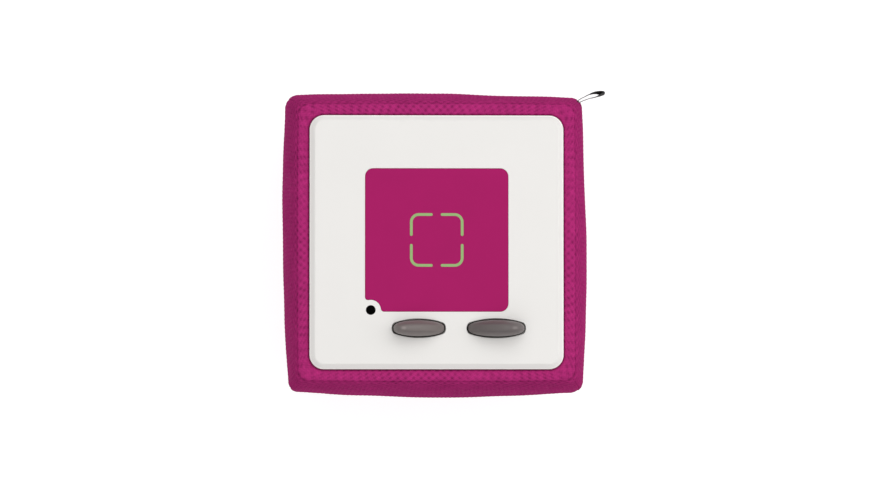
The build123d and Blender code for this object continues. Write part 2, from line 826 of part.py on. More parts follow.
def build_socket():
    """Upright headphone socket with a plain bore."""
    spans = (about(socket_x, socket_body_width), about(socket_y, socket_body_width))
    body = block(*spans, (board_top, plate_under))
    body = chamfer(body.edges().filter_by(Axis.Z), socket_corner_cut)
    return body - rod(
        socket_x, socket_y, board_top + socket_floor, plate_under, socket_bore_radius
    )


# ---------------------------------------------------------------- platform electronics
def build_antenna():
    """Reader board under the platform, with a printed square coil on its lower face."""
    low = plate_under - antenna_thickness
    outline = RectangleRounded(antenna_width, antenna_width, antenna_corner_radius)
    board = extrude(outline - Circle(antenna_hole_radius), antenna_thickness)
    tracks = []
    for turn in range(coil_turns):
        width = antenna_width - 2 * coil_edge - 4 * turn * coil_track_width
        inner = width - 2 * coil_track_width
        track = extrude(Rectangle(width, width) - Rectangle(inner, inner), coil_track_height)
        tracks.append(Pos(0, inlay_shift, low - coil_track_height) * track)
    return Pos(0, inlay_shift, low) * board, tracks


def build_magnet():
    """Disc magnet in its collar under the platform."""
    return rod(0, inlay_shift, plate_under - magnet_height, plate_under, magnet_radius)


# ---------------------------------------------------------------- loudspeaker
def build_speaker():
    """All loudspeaker pieces, keyed by node, facing the front."""
    foot = -basket_depth
    coil_low = foot - washer_thickness - cone_travel
    coil_top = coil_low + coil_length
    pieces = {
        "speaker_basket": build_basket(foot),
        **build_motor(foot),
        **build_cone_unit(coil_low, coil_top),
        "speaker_surround": build_surround(),
        "speaker_spider": build_spider(spider_level(foot)),
        "speaker_gasket": tube(
            0,
            gasket_thickness,
            speaker_aperture_radius + speaker_collar_wall,
            speaker_aperture_radius + soft_gap,
        ),
    }
    fixing = screw(medium_screw, speaker_flange_thickness + speaker_seat_depth)
    pieces["speaker_screws"] = [
        Pos(x, y, -speaker_flange_thickness) * fixing
        for x, y in corners(speaker_hole_offset, speaker_hole_offset)
    ]
    place = facing_front(speaker_face_y, speaker_z)
    for name, shapes in pieces.items():
        group = shapes if isinstance(shapes, list) else [shapes]
        pieces[name] = [place * shape for shape in group]
    return pieces


def spider_level(foot):
    """Height of the spider's middle in the basket."""
    return foot + basket_wall + spider_rise


def build_basket(foot):
    """Square flange, bell with windows, ledge for the spider and a terminal block."""
    t = speaker_flange_thickness
    width = 2 * speaker_flange_half
    opening = speaker_opening_radius
    outer = opening + basket_wall
    shoulder = -t - basket_shoulder
    foot_hole = coil_radius + coil_wall + pole_gap + magnet_bore_play
    bell = turned(
        [
            (opening, 0),
            (outer, 0),
            (outer, shoulder),
            (basket_foot_radius + basket_wall, foot + basket_wall),
            (basket_foot_radius + basket_wall, foot),
            (foot_hole, foot),
            (foot_hole, foot + basket_wall),
            (basket_foot_radius, foot + basket_wall),
            (opening, shoulder),
        ]
    )
    flange = extrude(RectangleRounded(width, width, speaker_corner_radius), -t)
    basket = flange - rod(0, 0, -t, 0, opening) + bell
    for x, y in corners(speaker_hole_offset, speaker_hole_offset):
        basket -= rod(x, y, -t, 0, medium_screw[0] + screw_play)
    low, high = foot + basket_window_margin, shoulder - basket_wall
    half_arc = basket_window_arc / 2
    sides = [Vector(2 * width, 0).rotate(Axis.Z, turn) for turn in (-half_arc, half_arc)]
    window = extrude(make_face(Polyline((0, 0), *sides, (0, 0))), high - low)
    window -= rod(0, 0, 0, high - low, basket_foot_radius - basket_wall)
    for step in range(basket_windows):
        basket -= Rot(0, 0, 360 / basket_windows * step) * Pos(0, 0, low) * window
    ledge_top = spider_level(foot) - spider_wall / 2
    ledge_inner = basket_foot_radius - spider_ledge
    basket += tube(foot + basket_wall, ledge_top, basket_foot_radius, ledge_inner)
    basket += block(
        about(terminal_offset, terminal_width),
        about(-terminal_offset, terminal_width),
        (-t - terminal_reach, -t),
    )
    return basket


def build_motor(foot):
    """Washer, ring magnet and yoke with its pole, behind the basket."""
    washer_low = foot - washer_thickness
    yoke_top = washer_low - magnet_ring_height
    gap_outer = coil_radius + coil_wall + pole_gap
    yoke = rod(0, 0, yoke_top - yoke_thickness, yoke_top, magnet_ring_radius)
    yoke = chamfer(yoke.edges().sort_by(Axis.Z)[0], yoke_chamfer)
    yoke += rod(0, 0, yoke_top, foot, coil_radius - pole_gap)
    return {
        "speaker_washer": tube(washer_low, foot, magnet_ring_radius, gap_outer),
        "speaker_magnet": tube(
            yoke_top, washer_low, magnet_ring_radius, gap_outer + magnet_bore_play
        ),
        "speaker_yoke": yoke,
    }


def build_cone_unit(coil_low, coil_top):
    """Cone, dust cap and voice coil, which travel together."""
    neck = coil_radius + coil_wall
    joint = coil_top - coil_neck
    cone = turned(
        [
            (neck, joint - cone_wall),
            (neck, joint + cone_wall),
            (cone_outer_radius, -cone_drop),
            (cone_outer_radius, -cone_drop - cone_wall),
            (neck + cone_wall, joint - cone_wall),
        ]
    )
    ball = (neck**2 + cap_rise**2) / (2 * cap_rise)
    dust_cap = Sphere(ball) - Sphere(ball - cone_wall)
    dust_cap &= rod(0, 0, ball - cap_rise, ball, neck + cone_wall)
    return {
        "speaker_cone": cone,
        "dust_cap": Pos(0, 0, coil_top + cap_rise - ball) * dust_cap,
        "voice_coil": tube(coil_low, coil_top, neck, coil_radius),
    }


def build_surround():
    """Rubber roll between the cone's edge and the flange."""
    inner, outer = cone_outer_radius, speaker_opening_radius
    middle = (inner + outer) / 2
    crown = surround_roll_width / 4
    wall, high = surround_wall, surround_roll_height
    lap = 3 * wall
    return turned(
        [
            (inner - lap, -cone_drop),
            (inner, -cone_drop),
            (inner, 0),
            (middle - crown, high),
            (middle + crown, high),
            (outer, 0),
            (speaker_aperture_radius, 0),
            (speaker_aperture_radius, wall),
            (outer + wall, wall),
            (middle + crown + wall / 2, high + wall),
            (middle - crown - wall / 2, high + wall),
            (inner - wall, wall),
            (inner - wall, wall - cone_drop),
            (inner - lap, wall - cone_drop),
        ]
    )


def build_spider(level):
    """Corrugated disc that centres the coil."""
    inner, outer = coil_radius + coil_wall, basket_foot_radius - seat_gap
    upper = [
        (inner + (outer - inner) * step / spider_waves, spider_wave_height * (step % 2))
        for step in range(spider_waves + 1)
    ]
    under = [(radius, rise - spider_wall) for radius, rise in reversed(upper)]
    return Pos(0, 0, level + spider_wall / 2) * turned(upper + under)


# ---------------------------------------------------------------- power and logic
def tray_points():
    """Screw places of the battery tray, on a diagonal."""
    reach = tray_half_length + tray_screw_reach
    return [(side * reach, tray_y + side * tray_screw_y) for side in (-1, 1)]


def contact_places():
    """Places of the dock contacts along X."""
    return [step * dock_contact_pitch for step in (-1, 0, 1)]


def main_board_points():
    """Screw places of the main board, as x and z."""
    x = main_board_half - main_board_hole_inset
    z = main_board_height / 2 - main_board_hole_inset
    return [(px, main_board_z + pz) for px, pz in corners(x, z)]


def build_tray():
    """Moulded tray with a round trough for each cell and two screw ears."""
    spans = about(tray_y, 2 * tray_half_width)
    tray = block(about(0, 2 * tray_half_length), spans, (tray_bottom, tray_top))
    for side in (-1, 1):
        wall = sorted((side * tray_half_length, side * (tray_half_length - tray_end_wall)))
        tray += block(wall, spans, (tray_bottom, tray_top + tray_depth))
    levels = (tray_bottom, tray_bottom + tray_ear_thickness)
    for x, y in tray_points():
        side = tray_half_length if x > 0 else -tray_half_length
        tray += rod(x, y, *levels, tray_ear_radius)
        tray += block(sorted((x, side)), about(y, 2 * tray_ear_radius), levels)
        tray -= rod(x, y, *levels, medium_screw[0] + screw_play)
    for place in cell_places():
        room = cell_length / 2 + cell_clearance
        tray -= place * rod(0, 0, -room, room, cell_radius + cell_clearance)
    return tray


def cell_places():
    """Frames along the axes of the cells."""
    middle = (cell_count - 1) / 2
    return [
        Pos(0, tray_y + (index - middle) * cell_pitch, cell_z) * Rot(0, 90, 0)
        for index in range(cell_count)
    ]


def build_cells():
    """Round cells, each with its contact button."""
    half = cell_length / 2
    shoulder = half - cell_button_height
    cell = rod(0, 0, -half, shoulder, cell_radius)
    cell += rod(0, 0, shoulder, half, cell_button_radius)
    return [place * cell for place in cell_places()]


def build_strap():
    """Band bent over the cells and down both sides of the tray."""
    inner = tray_half_width + seat_gap
    under = cell_z + cell_radius + seat_gap
    band = block(
        about(0, strap_width),
        about(tray_y, 2 * strap_reach),
        (tray_bottom + strap_foot, under + strap_thickness),
    )
    return band - block(about(0, 2 * strap_width), about(tray_y, 2 * inner), (0, under))


def build_dock():
    """Contact pads in the ceiling of the dock recess and the small board over them."""
    contacts = [
        rod(x, dock_contact_y, dock_ceiling_z, dock_pan_top, dock_contact_radius)
        for x in contact_places()
    ]
    board = block(
        about(0, dock_board_width),
        (dock_contact_y - dock_board_front, dock_contact_y + dock_board_back),
        (dock_pan_top, dock_pan_top + board_thickness),
    )
    return contacts, board


def build_main_board():
    """Main board on the rear wall with its screws."""
    face = main_board_face
    board = block(
        about(0, 2 * main_board_half),
        (face, main_board_back),
        (main_board_low, main_board_high),
    )
    screws = []
    for x, z in main_board_points():
        place = Pos(x, face, z) * Rot(-90, 0, 0)
        board -= place * rod(0, 0, 0, main_board_thickness, medium_screw[0] + screw_play)
        screws.append(place * screw(medium_screw, main_board_screw_length))
    return board, screws


def build_board_parts():
    """Chips, storage card and round cans on the main board, and its connectors."""
    face = main_board_face
    parts = []
    for left, width, low, tall, thick in board_chips:
        z = main_board_z + low
        parts.append(block((left, left + width), (face - thick, face), (z, z + tall)))
    for x in board_can_places:
        place = facing_front(face, main_board_z - board_can_drop) * Pos(x, 0, 0)
        parts.append(place * rod(0, 0, 0, board_can_height, board_can_radius))
    places = [(x, low_connector_z) for x in low_connectors]
    places += [(x, high_connector_z) for x in high_connectors]
    connectors = [
        block(about(x, connector_width), (connector_front, face), about(z, connector_height))
        for x, z in places
    ]
    return parts, connectors


def build_leads():
    """Leads that join the boards, the cells and the loudspeaker inside the carcass."""
    terminal_y = speaker_face_y + speaker_flange_thickness + terminal_reach
    low_z, high_z = low_connector_z, high_connector_z
    speaker_x, battery_x, dock_x = low_connectors[3], low_connectors[2], low_connectors[1]
    plug_y = (connector_front + main_board_face) / 2
    plug_under = low_z - connector_height / 2
    clear_z = cell_z + cell_radius + lead_rise
    tray_side = tray_half_length + lead_stand_off
    control_x = high_connectors[0] + control_lead_inset
    routes = {
        "speaker_lead": [
            (terminal_offset, terminal_y, speaker_z - terminal_offset),
            (terminal_offset, -8, speaker_z - terminal_offset),
            (speaker_x, 14, low_z),
            (speaker_x, connector_front, low_z),
        ],
        "battery_lead": [
            (tray_half_length, tray_y, cell_z),
            (tray_side, tray_y, cell_z),
            (tray_side, plug_y - 6, clear_z),
            (battery_x, plug_y, clear_z - 1),
            (battery_x, plug_y, plug_under),
        ],
        "dock_lead": [
            (dock_x, dock_contact_y, dock_pan_top + board_thickness),
            (dock_x, dock_contact_y, clear_z),
            (dock_x, 8, clear_z),
            (dock_x, 20, low_z),
            (dock_x, connector_front, low_z),
        ],
        "control_lead": [
            (control_x, ear_y + 2, board_under),
            (control_x, ear_y + 2, board_under - lead_drop),
            (control_x, 0, high_z),
            (high_connectors[0], 20, high_z),
            (high_connectors[0], connector_front, high_z),
        ],
    }
    antenna_y = inlay_shift - antenna_width / 2 + coil_edge / 2
    antenna_x = antenna_width / 4
    board_y = ear_y + board_back - antenna_lead_inset
    antenna_route = [
        (antenna_x, antenna_y, plate_under - antenna_thickness),
        (antenna_x, antenna_y, board_top + antenna_lead_rise),
        (antenna_x, board_y, board_top + antenna_lead_rise),
        (antenna_x, board_y, board_top),
    ]
    leads = {name: lead(points, lead_radius, lead_bend) for name, points in routes.items()}
    leads["antenna_lead"] = lead(antenna_route, thin_lead_radius, thin_lead_bend)
    return leads


# ---------------------------------------------------------------- nodes
def build_fixings():
    """Screw groups of the base plate, the top plate and the control board."""
    head_seat = base_lift + large_screw[2] + head_recess
    return {
        "base_screws": [
            Pos(x, y, head_seat) * screw(large_screw, base_screw_length)
            for x, y in corners(corner_post_offset, corner_post_offset)
        ],
        "top_plate_screws": [
            Pos(x, y, lug_under) * screw(medium_screw, top_screw_length)
            for x, y in corners(corner_post_offset, lug_offset)
        ],
        "control_board_screws": [
            Pos(x, y, board_under) * screw(small_screw, key_screw_length) for x, y in posts
        ],
        "tray_screws": [
            Pos(x, y, tray_bottom + tray_ear_thickness)
            * Rot(180, 0, 0)
            * screw(medium_screw, tray_screw_length)
            for x, y in tray_points()
        ],
    }


def build_keys():
    """Ear, plunger, spring and switch stem of each key."""
    nodes = {}
    for key, (x, length, width, height, outward) in KEYS.items():
        nodes[key + "_ear"] = build_ear(x, length, width, height, outward)
        nodes[key + "_plunger"] = build_plunger(x, length, width)
        nodes[key + "_spring"] = build_spring(x)
        nodes[key + "_switch_stem"] = build_switch_stem(x)
    return nodes


def main():
    """Builds every node and writes it to the parts folder."""
    os.makedirs("parts", exist_ok=True)
    core_front, core_rear = build_core()
    antenna, antenna_coil = build_antenna()
    contacts, dock_board = build_dock()
    main_board, board_screws = build_main_board()
    board_parts, connectors = build_board_parts()
    nodes = {
        "fabric_cover": build_cover(),
        "hang_loop": build_hang_loop(),
        **{"foam_pad_" + side: pad for side, pad in build_foam_pads().items()},
        "top_plate": build_top_plate(),
        "platform_inlay": build_inlay(),
        "base_plate": build_base_plate(),
        "non_slip_ring": build_non_slip_ring(),
        "core_front_shell": core_front,
        "core_rear_shell": core_rear,
        "speaker_grille": build_grille(),
        **build_keys(),
        "key_frame": build_key_frame(),
        "switch_bodies": build_switches(),
        "control_board": build_control_board(),
        "status_leds": build_leds(),
        "headphone_socket": build_socket(),
        "antenna_board": antenna,
        "antenna_coil": antenna_coil,
        "figure_magnet": build_magnet(),
        **build_speaker(),
        "battery_cells": build_cells(),
        "battery_tray": build_tray(),
        "battery_strap": build_strap(),
        "dock_contacts": contacts,
        "dock_board": dock_board,
        "main_board": main_board,
        "board_components": board_parts,
        "board_connectors": connectors,
        "board_screws": board_screws,
        **build_fixings(),
        **build_leads(),
    }
    for name, shapes in nodes.items():
        save(name, shapes)


main()
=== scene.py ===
import json
import logging
import math
from bisect import bisect_right
from collections.abc import Callable, Iterator, Mapping, Sequence
from dataclasses import dataclass, field, replace
from enum import Enum

import bmesh
import bpy
from mathutils import Matrix, Vector, noise

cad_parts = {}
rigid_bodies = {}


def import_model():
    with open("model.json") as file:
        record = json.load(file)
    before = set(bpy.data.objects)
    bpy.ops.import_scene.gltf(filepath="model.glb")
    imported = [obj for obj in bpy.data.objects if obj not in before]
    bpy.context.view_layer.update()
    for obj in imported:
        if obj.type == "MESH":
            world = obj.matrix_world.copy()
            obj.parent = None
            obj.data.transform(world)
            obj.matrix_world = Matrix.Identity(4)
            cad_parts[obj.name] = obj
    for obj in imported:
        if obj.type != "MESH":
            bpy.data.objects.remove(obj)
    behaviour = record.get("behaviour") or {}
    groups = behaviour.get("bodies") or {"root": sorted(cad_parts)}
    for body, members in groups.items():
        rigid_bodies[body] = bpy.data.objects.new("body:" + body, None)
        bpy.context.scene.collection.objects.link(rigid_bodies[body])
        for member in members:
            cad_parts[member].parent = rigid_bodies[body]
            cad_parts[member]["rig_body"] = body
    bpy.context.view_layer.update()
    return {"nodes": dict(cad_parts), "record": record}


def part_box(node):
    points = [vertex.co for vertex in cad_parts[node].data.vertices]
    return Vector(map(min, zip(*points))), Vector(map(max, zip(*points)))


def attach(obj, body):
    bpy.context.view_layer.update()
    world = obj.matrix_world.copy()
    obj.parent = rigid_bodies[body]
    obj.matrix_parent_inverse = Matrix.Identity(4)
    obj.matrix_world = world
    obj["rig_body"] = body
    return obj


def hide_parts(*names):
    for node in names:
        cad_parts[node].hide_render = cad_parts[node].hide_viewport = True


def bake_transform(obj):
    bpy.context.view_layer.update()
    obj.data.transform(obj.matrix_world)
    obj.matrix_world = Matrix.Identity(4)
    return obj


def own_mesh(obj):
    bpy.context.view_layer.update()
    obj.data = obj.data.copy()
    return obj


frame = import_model()

# Looks of a soft audio story player. Classes hold their sizes in millimetres, and a mesh is in metres.
# FAR is what counts as far from any seam, TOUCH how near counts as touching, and WELD, in metres, how
# near two vertices are one.
MM = 0.001
TURN = 2 * math.pi
LOG = logging.getLogger("player")

Colour = tuple[float, float, float]
Pair = tuple[float, float]
Place = Callable[[int, int], Vector]
Test = Callable[[Vector], bool]
PLATE_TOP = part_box("top_plate")[1].z / MM
PLATE_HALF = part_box("top_plate")[1].x / MM
PLATE_CORNER = 5.6
PLATE_EDGE = 8.0
FAR = 9.0
TOUCH = 0.01
WELD = 1e-7


def linear(red: int, green: int, blue: int) -> Colour:
    """Turns an 8-bit screen colour into the linear colour that a shader takes.

    Args:
        red: Red, from 0 to 255.
        green: Green, from 0 to 255.
        blue: Blue, from 0 to 255.

    Returns:
        The linear colour.
    """
    toe, slope, offset, power = 0.04045, 12.92, 0.055, 2.4
    parts = [part / 255 for part in (red, green, blue)]
    return tuple(
        part / slope if part <= toe else ((part + offset) / (1 + offset)) ** power
        for part in parts
    )


def millimetres(point: Vector) -> Vector:
    """A point of the frame in millimetres."""
    return point / MM


def lerp(first: float, second: float, share: float) -> float:
    """The value at a share of the way from first to second."""
    return first + (second - first) * share


def clamp(value: float, low: float = 0.0, high: float = 1.0) -> float:
    """The value, or the limit that it is beyond."""
    return min(high, max(low, value))


def eased(share: float) -> float:
    """A share of the way that starts and ends slowly."""
    return share * share * (3 - 2 * share)


def span_at(marks: Sequence[float], place: float) -> int:
    """Number of the span between two sorted marks that a place lies in."""
    return min(len(marks) - 2, max(0, bisect_right(marks, place) - 1))


# ---------------------------------------------------------------- shader maths
class Shade:
    """A socket that takes part in shader maths written as Python expressions."""

    def __init__(self, bench: "Bench", socket: bpy.types.NodeSocket) -> None:
        """Keeps the socket and the bench that it is on."""
        self.bench = bench
        self.socket = socket

    def maths(self, operation: str, *others: "Shade | float", first: bool = True) -> "Shade":
        """Adds a Math node.

        Args:
            operation: Blender's name of the operation.
            others: The other values.
            first: Whether this socket is the operation's first value.

        Returns:
            The node's result.
        """
        values = (self, *others) if first else (*others, self)
        sockets = dict(enumerate(values))
        return self.bench.add("ShaderNodeMath", {"operation": operation}, sockets)

    def __add__(self, other: "Shade | float") -> "Shade":
        """Sum."""
        return self.maths("ADD", other)

    __radd__ = __add__

    def __sub__(self, other: "Shade | float") -> "Shade":
        """Difference."""
        return self.maths("SUBTRACT", other)

    def __rsub__(self, other: float) -> "Shade":
        """Reflected difference."""
        return self.maths("SUBTRACT", other, first=False)

    def __mul__(self, other: "Shade | float") -> "Shade":
        """Product."""
        return self.maths("MULTIPLY", other)

    __rmul__ = __mul__

    def __truediv__(self, other: "Shade | float") -> "Shade":
        """Quotient."""
        return self.maths("DIVIDE", other)

    def __pow__(self, other: float) -> "Shade":
        """Power."""
        return self.maths("POWER", other)

    def wave(self, period: float) -> "Shade":
        """A cosine of that period, from -1 to 1."""
        return (self * (TURN / period)).maths("COSINE")

    def ridges(self, period: float) -> "Shade":
        """A cosine of that period, from 0 to 1."""
        return self.wave(period) * 0.5 + 0.5

    def zigzag(self, period: float) -> "Shade":
        """A triangle wave of that period, from 0 to 1."""
        return ((self / period).maths("FRACT") - 0.5).maths("ABSOLUTE") * 2

    def ramp(self, low: float, high: float) -> "Shade":
        """A smooth step that is 0 at low and 1 at high."""
        sockets = {"Value": self, "From Min": low, "From Max": high}
        return self.bench.add("ShaderNodeMapRange", {"interpolation_type": "SMOOTHSTEP"}, sockets)

    def beyond(self, low: float, high: float) -> "Shade":
        """A smooth step to both sides of zero, that is 0 within low and 1 beyond high."""
        return self.maths("ABSOLUTE").ramp(low, high)

    def between(self, low: float, high: float) -> "Shade":
        """A value from 0 to 1 turned into one from low to high."""
        return self * (high - low) + low


class Bench:
    """The node tree of one material."""

    def __init__(self, name: str) -> None:
        """Starts an empty material.

        Args:
            name: The material's name.
        """
        self.material = bpy.data.materials.new(name)
        self.material.use_nodes = True
        self.tree = self.material.node_tree
        self.tree.nodes.clear()

    def add(
        self,
        kind: str,
        settings: Mapping[str, object] | None = None,
        sockets: Mapping[str | int, object] | None = None,
        output: str | int = 0,
    ) -> Shade:
        """Adds a node.

        Args:
            kind: Blender's type of the node.
            settings: The node's own settings, set first.
            sockets: A value or a Shade for each input socket that is used.
            output: The output socket that is wanted.

        Returns:
            The output socket.
        """
        node = self.tree.nodes.new(kind)
        for name, value in (settings or {}).items():
            setattr(node, name, value)
        for key, value in (sockets or {}).items():
            socket = node.inputs[key]
            if isinstance(value, Shade):
                self.tree.links.new(value.socket, socket)
            elif isinstance(value, tuple) and socket.type == "RGBA":
                socket.default_value = (*value, 1.0)
            else:
                socket.default_value = value
        return Shade(self, node.outputs[output])

    def parts(self, vector: Shade) -> tuple[Shade, Shade, Shade]:
        """The three components of a vector."""
        split = self.add("ShaderNodeSeparateXYZ", sockets={0: vector}).socket.node
        return tuple(Shade(self, output) for output in split.outputs)

    def here(self) -> Shade:
        """The place on the object, in millimetres."""
        return self.scaled(self.add("ShaderNodeTexCoord", output="Object"), 1 / MM)

    def scaled(self, vector: Shade | Colour, level: Shade | float) -> Shade:
        """A vector or a colour times a level."""
        sockets = {0: vector, "Scale": level}
        return self.add("ShaderNodeVectorMath", {"operation": "SCALE"}, sockets)

    def attribute(self, name: str) -> Shade:
        """A vector that the mesh carries."""
        return self.add("ShaderNodeAttribute", {"attribute_name": name}, output="Vector")

    def grain(self, vector: Shade, size: float, detail: float = 2.0) -> Shade:
        """Noise whose features are about size across, from 0 to 1."""
        sockets = {"Vector": vector, "Scale": 1 / size, "Detail": detail}
        return self.add("ShaderNodeTexNoise", sockets=sockets)

    def cloud(self, vector: Shade, size: float) -> Shade:
        """Noise whose features are about size across, from -0.5 to 0.5."""
        return self.grain(vector, size) - 0.5

    def cells(self, vector: Shade, size: float, feature: str = "F1") -> Shade:
        """Distance within cells that are about size across."""
        sockets = {"Vector": vector, "Scale": 1 / size}
        return self.add("ShaderNodeTexVoronoi", {"feature": feature}, sockets, "Distance")

    def blend(self, factor: Shade | float, first: object, second: object) -> Shade:
        """A colour between two colours."""
        sockets = {0: factor, 6: first, 7: second}
        return self.add("ShaderNodeMix", {"data_type": "RGBA"}, sockets, 2)

    def bump(self, height: Shade, strength: float = 1.0) -> Shade:
        """A normal from a height in millimetres."""
        sockets = {"Height": height, "Strength": strength, "Distance": MM}
        return self.add("ShaderNodeBump", sockets=sockets)

    def close(self, sockets: Mapping[str, object]) -> bpy.types.Material:
        """Adds the shader and the output.

        Args:
            sockets: The values and links of the Principled shader's sockets.

        Returns:
            The finished material.
        """
        shader = self.add("ShaderNodeBsdfPrincipled", sockets=sockets)
        target = self.tree.nodes.new("ShaderNodeOutputMaterial")
        self.tree.links.new(shader.socket, target.inputs["Surface"])
        return self.material


# ---------------------------------------------------------------- finishes
@dataclass(frozen=True)
class Finish:
    """A material. Kinds of finish differ in how they dress the shader."""

    name: str
    colour: Colour
    roughness: float = 0.5
    gloss: float = 0.5

    def material(self) -> bpy.types.Material:
        """Makes the material, unless it is there already.

        Returns:
            The material.
        """
        made = bpy.data.materials.get(self.name)
        if made:
            return made
        bench = Bench(self.name)
        sockets = {"Roughness": self.roughness, "Specular IOR Level": self.gloss}
        sockets.update(self.dress(bench))
        return bench.close(sockets)

    def dress(self, bench: Bench) -> dict[str, object]:
        """What this kind of finish sets.

        Args:
            bench: The node tree of the material.

        Returns:
            A value or a Shade for each of the shader's sockets that is set.
        """
        return {"Base Color": self.colour}

    def tinted(self, bench: Bench, level: Shade) -> Shade:
        """The colour made darker below a level of 1 and lighter above it."""
        return bench.scaled(self.colour, level)


@dataclass(frozen=True)
class Moulded(Finish):
    """Injection-moulded plastic with fine spark-eroded grain."""

    grain_size: float = 0.35
    grain_height: float = 0.012
    cloud_size: float = 18.0
    cloud: float = 0.03
    grain_dulls: float = 0.12
    cloud_dulls: float = 0.08

    def dress(self, bench: Bench) -> dict[str, object]:
        """Grain, a faint cloudiness, and roughness that goes with both.

        Args:
            bench: The node tree of the material.

        Returns:
            The shader's sockets that are set.
        """
        here = bench.here()
        cloud = bench.cloud(here, self.cloud_size)
        grain = bench.grain(here, self.grain_size)
        dull = self.roughness + (grain - 0.5) * self.grain_dulls
        return {
            "Base Color": self.tinted(bench, 1 + cloud * self.cloud),
            "Roughness": dull + cloud * self.cloud_dulls,
            "Normal": bench.bump(grain * self.grain_height),
        }


@dataclass(frozen=True)
class RimHighlightMoulded(Moulded):
    """Moulded plastic of a rounded square, with a painted highlight along its outermost edge."""

    half: float = PLATE_HALF
    corner: float = PLATE_CORNER
    rim: float = 0.75
    rim_full: float = 0.25
    lift: float = 0.2

    def tinted(self, bench: Bench, level: Shade) -> Shade:
        """The colour, with a painted highlight that lifts it where the surface is near the outline.

        Args:
            bench: The node tree of the material.
            level: Share of the colour's own light.

        Returns:
            The colour.
        """
        x, y, _ = bench.parts(bench.here())
        flat = self.half - self.corner
        beyond = [(place.maths("ABSOLUTE") - flat).maths("MAXIMUM", 0.0) for place in (x, y)]
        reach = (beyond[0] ** 2 + beyond[1] ** 2) ** 0.5
        # Painted highlight: the colour is made paler over the outermost rim of the outline.
        edge = reach.ramp(self.corner - self.rim, self.corner - self.rim_full)
        return super().tinted(bench, level * (1 + edge * self.lift))


@dataclass(frozen=True)
class Glowing(Moulded):
    """A light table's top: pale, with light of its own."""

    glow: float = 0.83

    def dress(self, bench: Bench) -> dict[str, object]:
        """The moulded dress and the glow."""
        light = {"Emission Color": (1.0, 1.0, 1.0), "Emission Strength": self.glow}
        return {**super().dress(bench), **light}


@dataclass(frozen=True)
class Rubber(Moulded):
    """Soft rubber: finer grain, a dull bloom and lighter rubbed places."""

    grain_size: float = 0.22
    grain_height: float = 0.016
    cloud_size: float = 6.0
    cloud: float = 0.12


@dataclass(frozen=True)
class SmokyRubber(Finish):
    """Smoky silicone: a fin with a painted highlight at its peak, on a flared foot with painted shade
    lines and a painted magenta reflection.
    """

    peak: float = 0.62
    peak_along: Pair = (0.02, 0.14)
    peak_across: Pair = (0.05, 0.32)
    peak_light: float = 0.42
    crease: Pair = (0.5, -0.44)
    crease_width: float = 0.09
    crease_ends: Pair = (0.3, 0.85)
    crease_tint: Colour = (0.12, 0.06, 0.08)
    back_shade: float = 0.4
    front_shade: float = 0.12
    rim: Pair = (0.5, 0.8)
    rim_light: float = 0.1
    foot: float = 0.95
    foot_range: Pair = (-0.3, 0.1)
    cloud_size: float = 2.6
    cloud: float = 0.08
    grain_size: float = 0.3
    grain_height: float = 0.01
    grain_dulls: float = 0.1

    def dress(self, bench: Bench) -> dict[str, object]:
        """Painted shade lines along the foot, a painted highlight at the peak, painted shade on the
        foot in the slot, and fine grain.

        Args:
            bench: The node tree of the material.

        Returns:
            The shader's sockets that are set.
        """
        along, across, up = bench.parts(bench.attribute("weave"))
        here = bench.here()
        cloud = bench.cloud(here, self.cloud_size)
        grain = bench.grain(here, self.grain_size)
        # Painted shade: two dark lines along the foot, fading towards the ends.
        middle = 1 - along.beyond(*self.crease_ends)
        back, front = (
            1 - (across - place).beyond(0.0, self.crease_width) for place in self.crease
        )
        # Painted highlight: a lighter spot near the peak, towards the outer end.
        spot = 1 - (along - self.peak).beyond(*self.peak_along)
        spot = spot * (1 - across.beyond(*self.peak_across))
        level = 1 + cloud * self.cloud + across.beyond(*self.rim) * self.rim_light
        level = level + spot * self.peak_light - front * middle * self.front_shade
        # Painted shade: the foot, down in its slot, is made nearly black.
        level = level * (1 - self.foot * (1 - up.ramp(*self.foot_range)))
        # The back line is blended towards a dark magenta tint: painted shade with a painted reflection
        # of the platform.
        crease, shade = back * middle * self.back_shade, self.tinted(bench, level)
        return {
            "Base Color": bench.blend(crease, shade, self.crease_tint),
            "Roughness": self.roughness + (grain - 0.5) * self.grain_dulls,
            "Normal": bench.bump(grain * self.grain_height),
        }


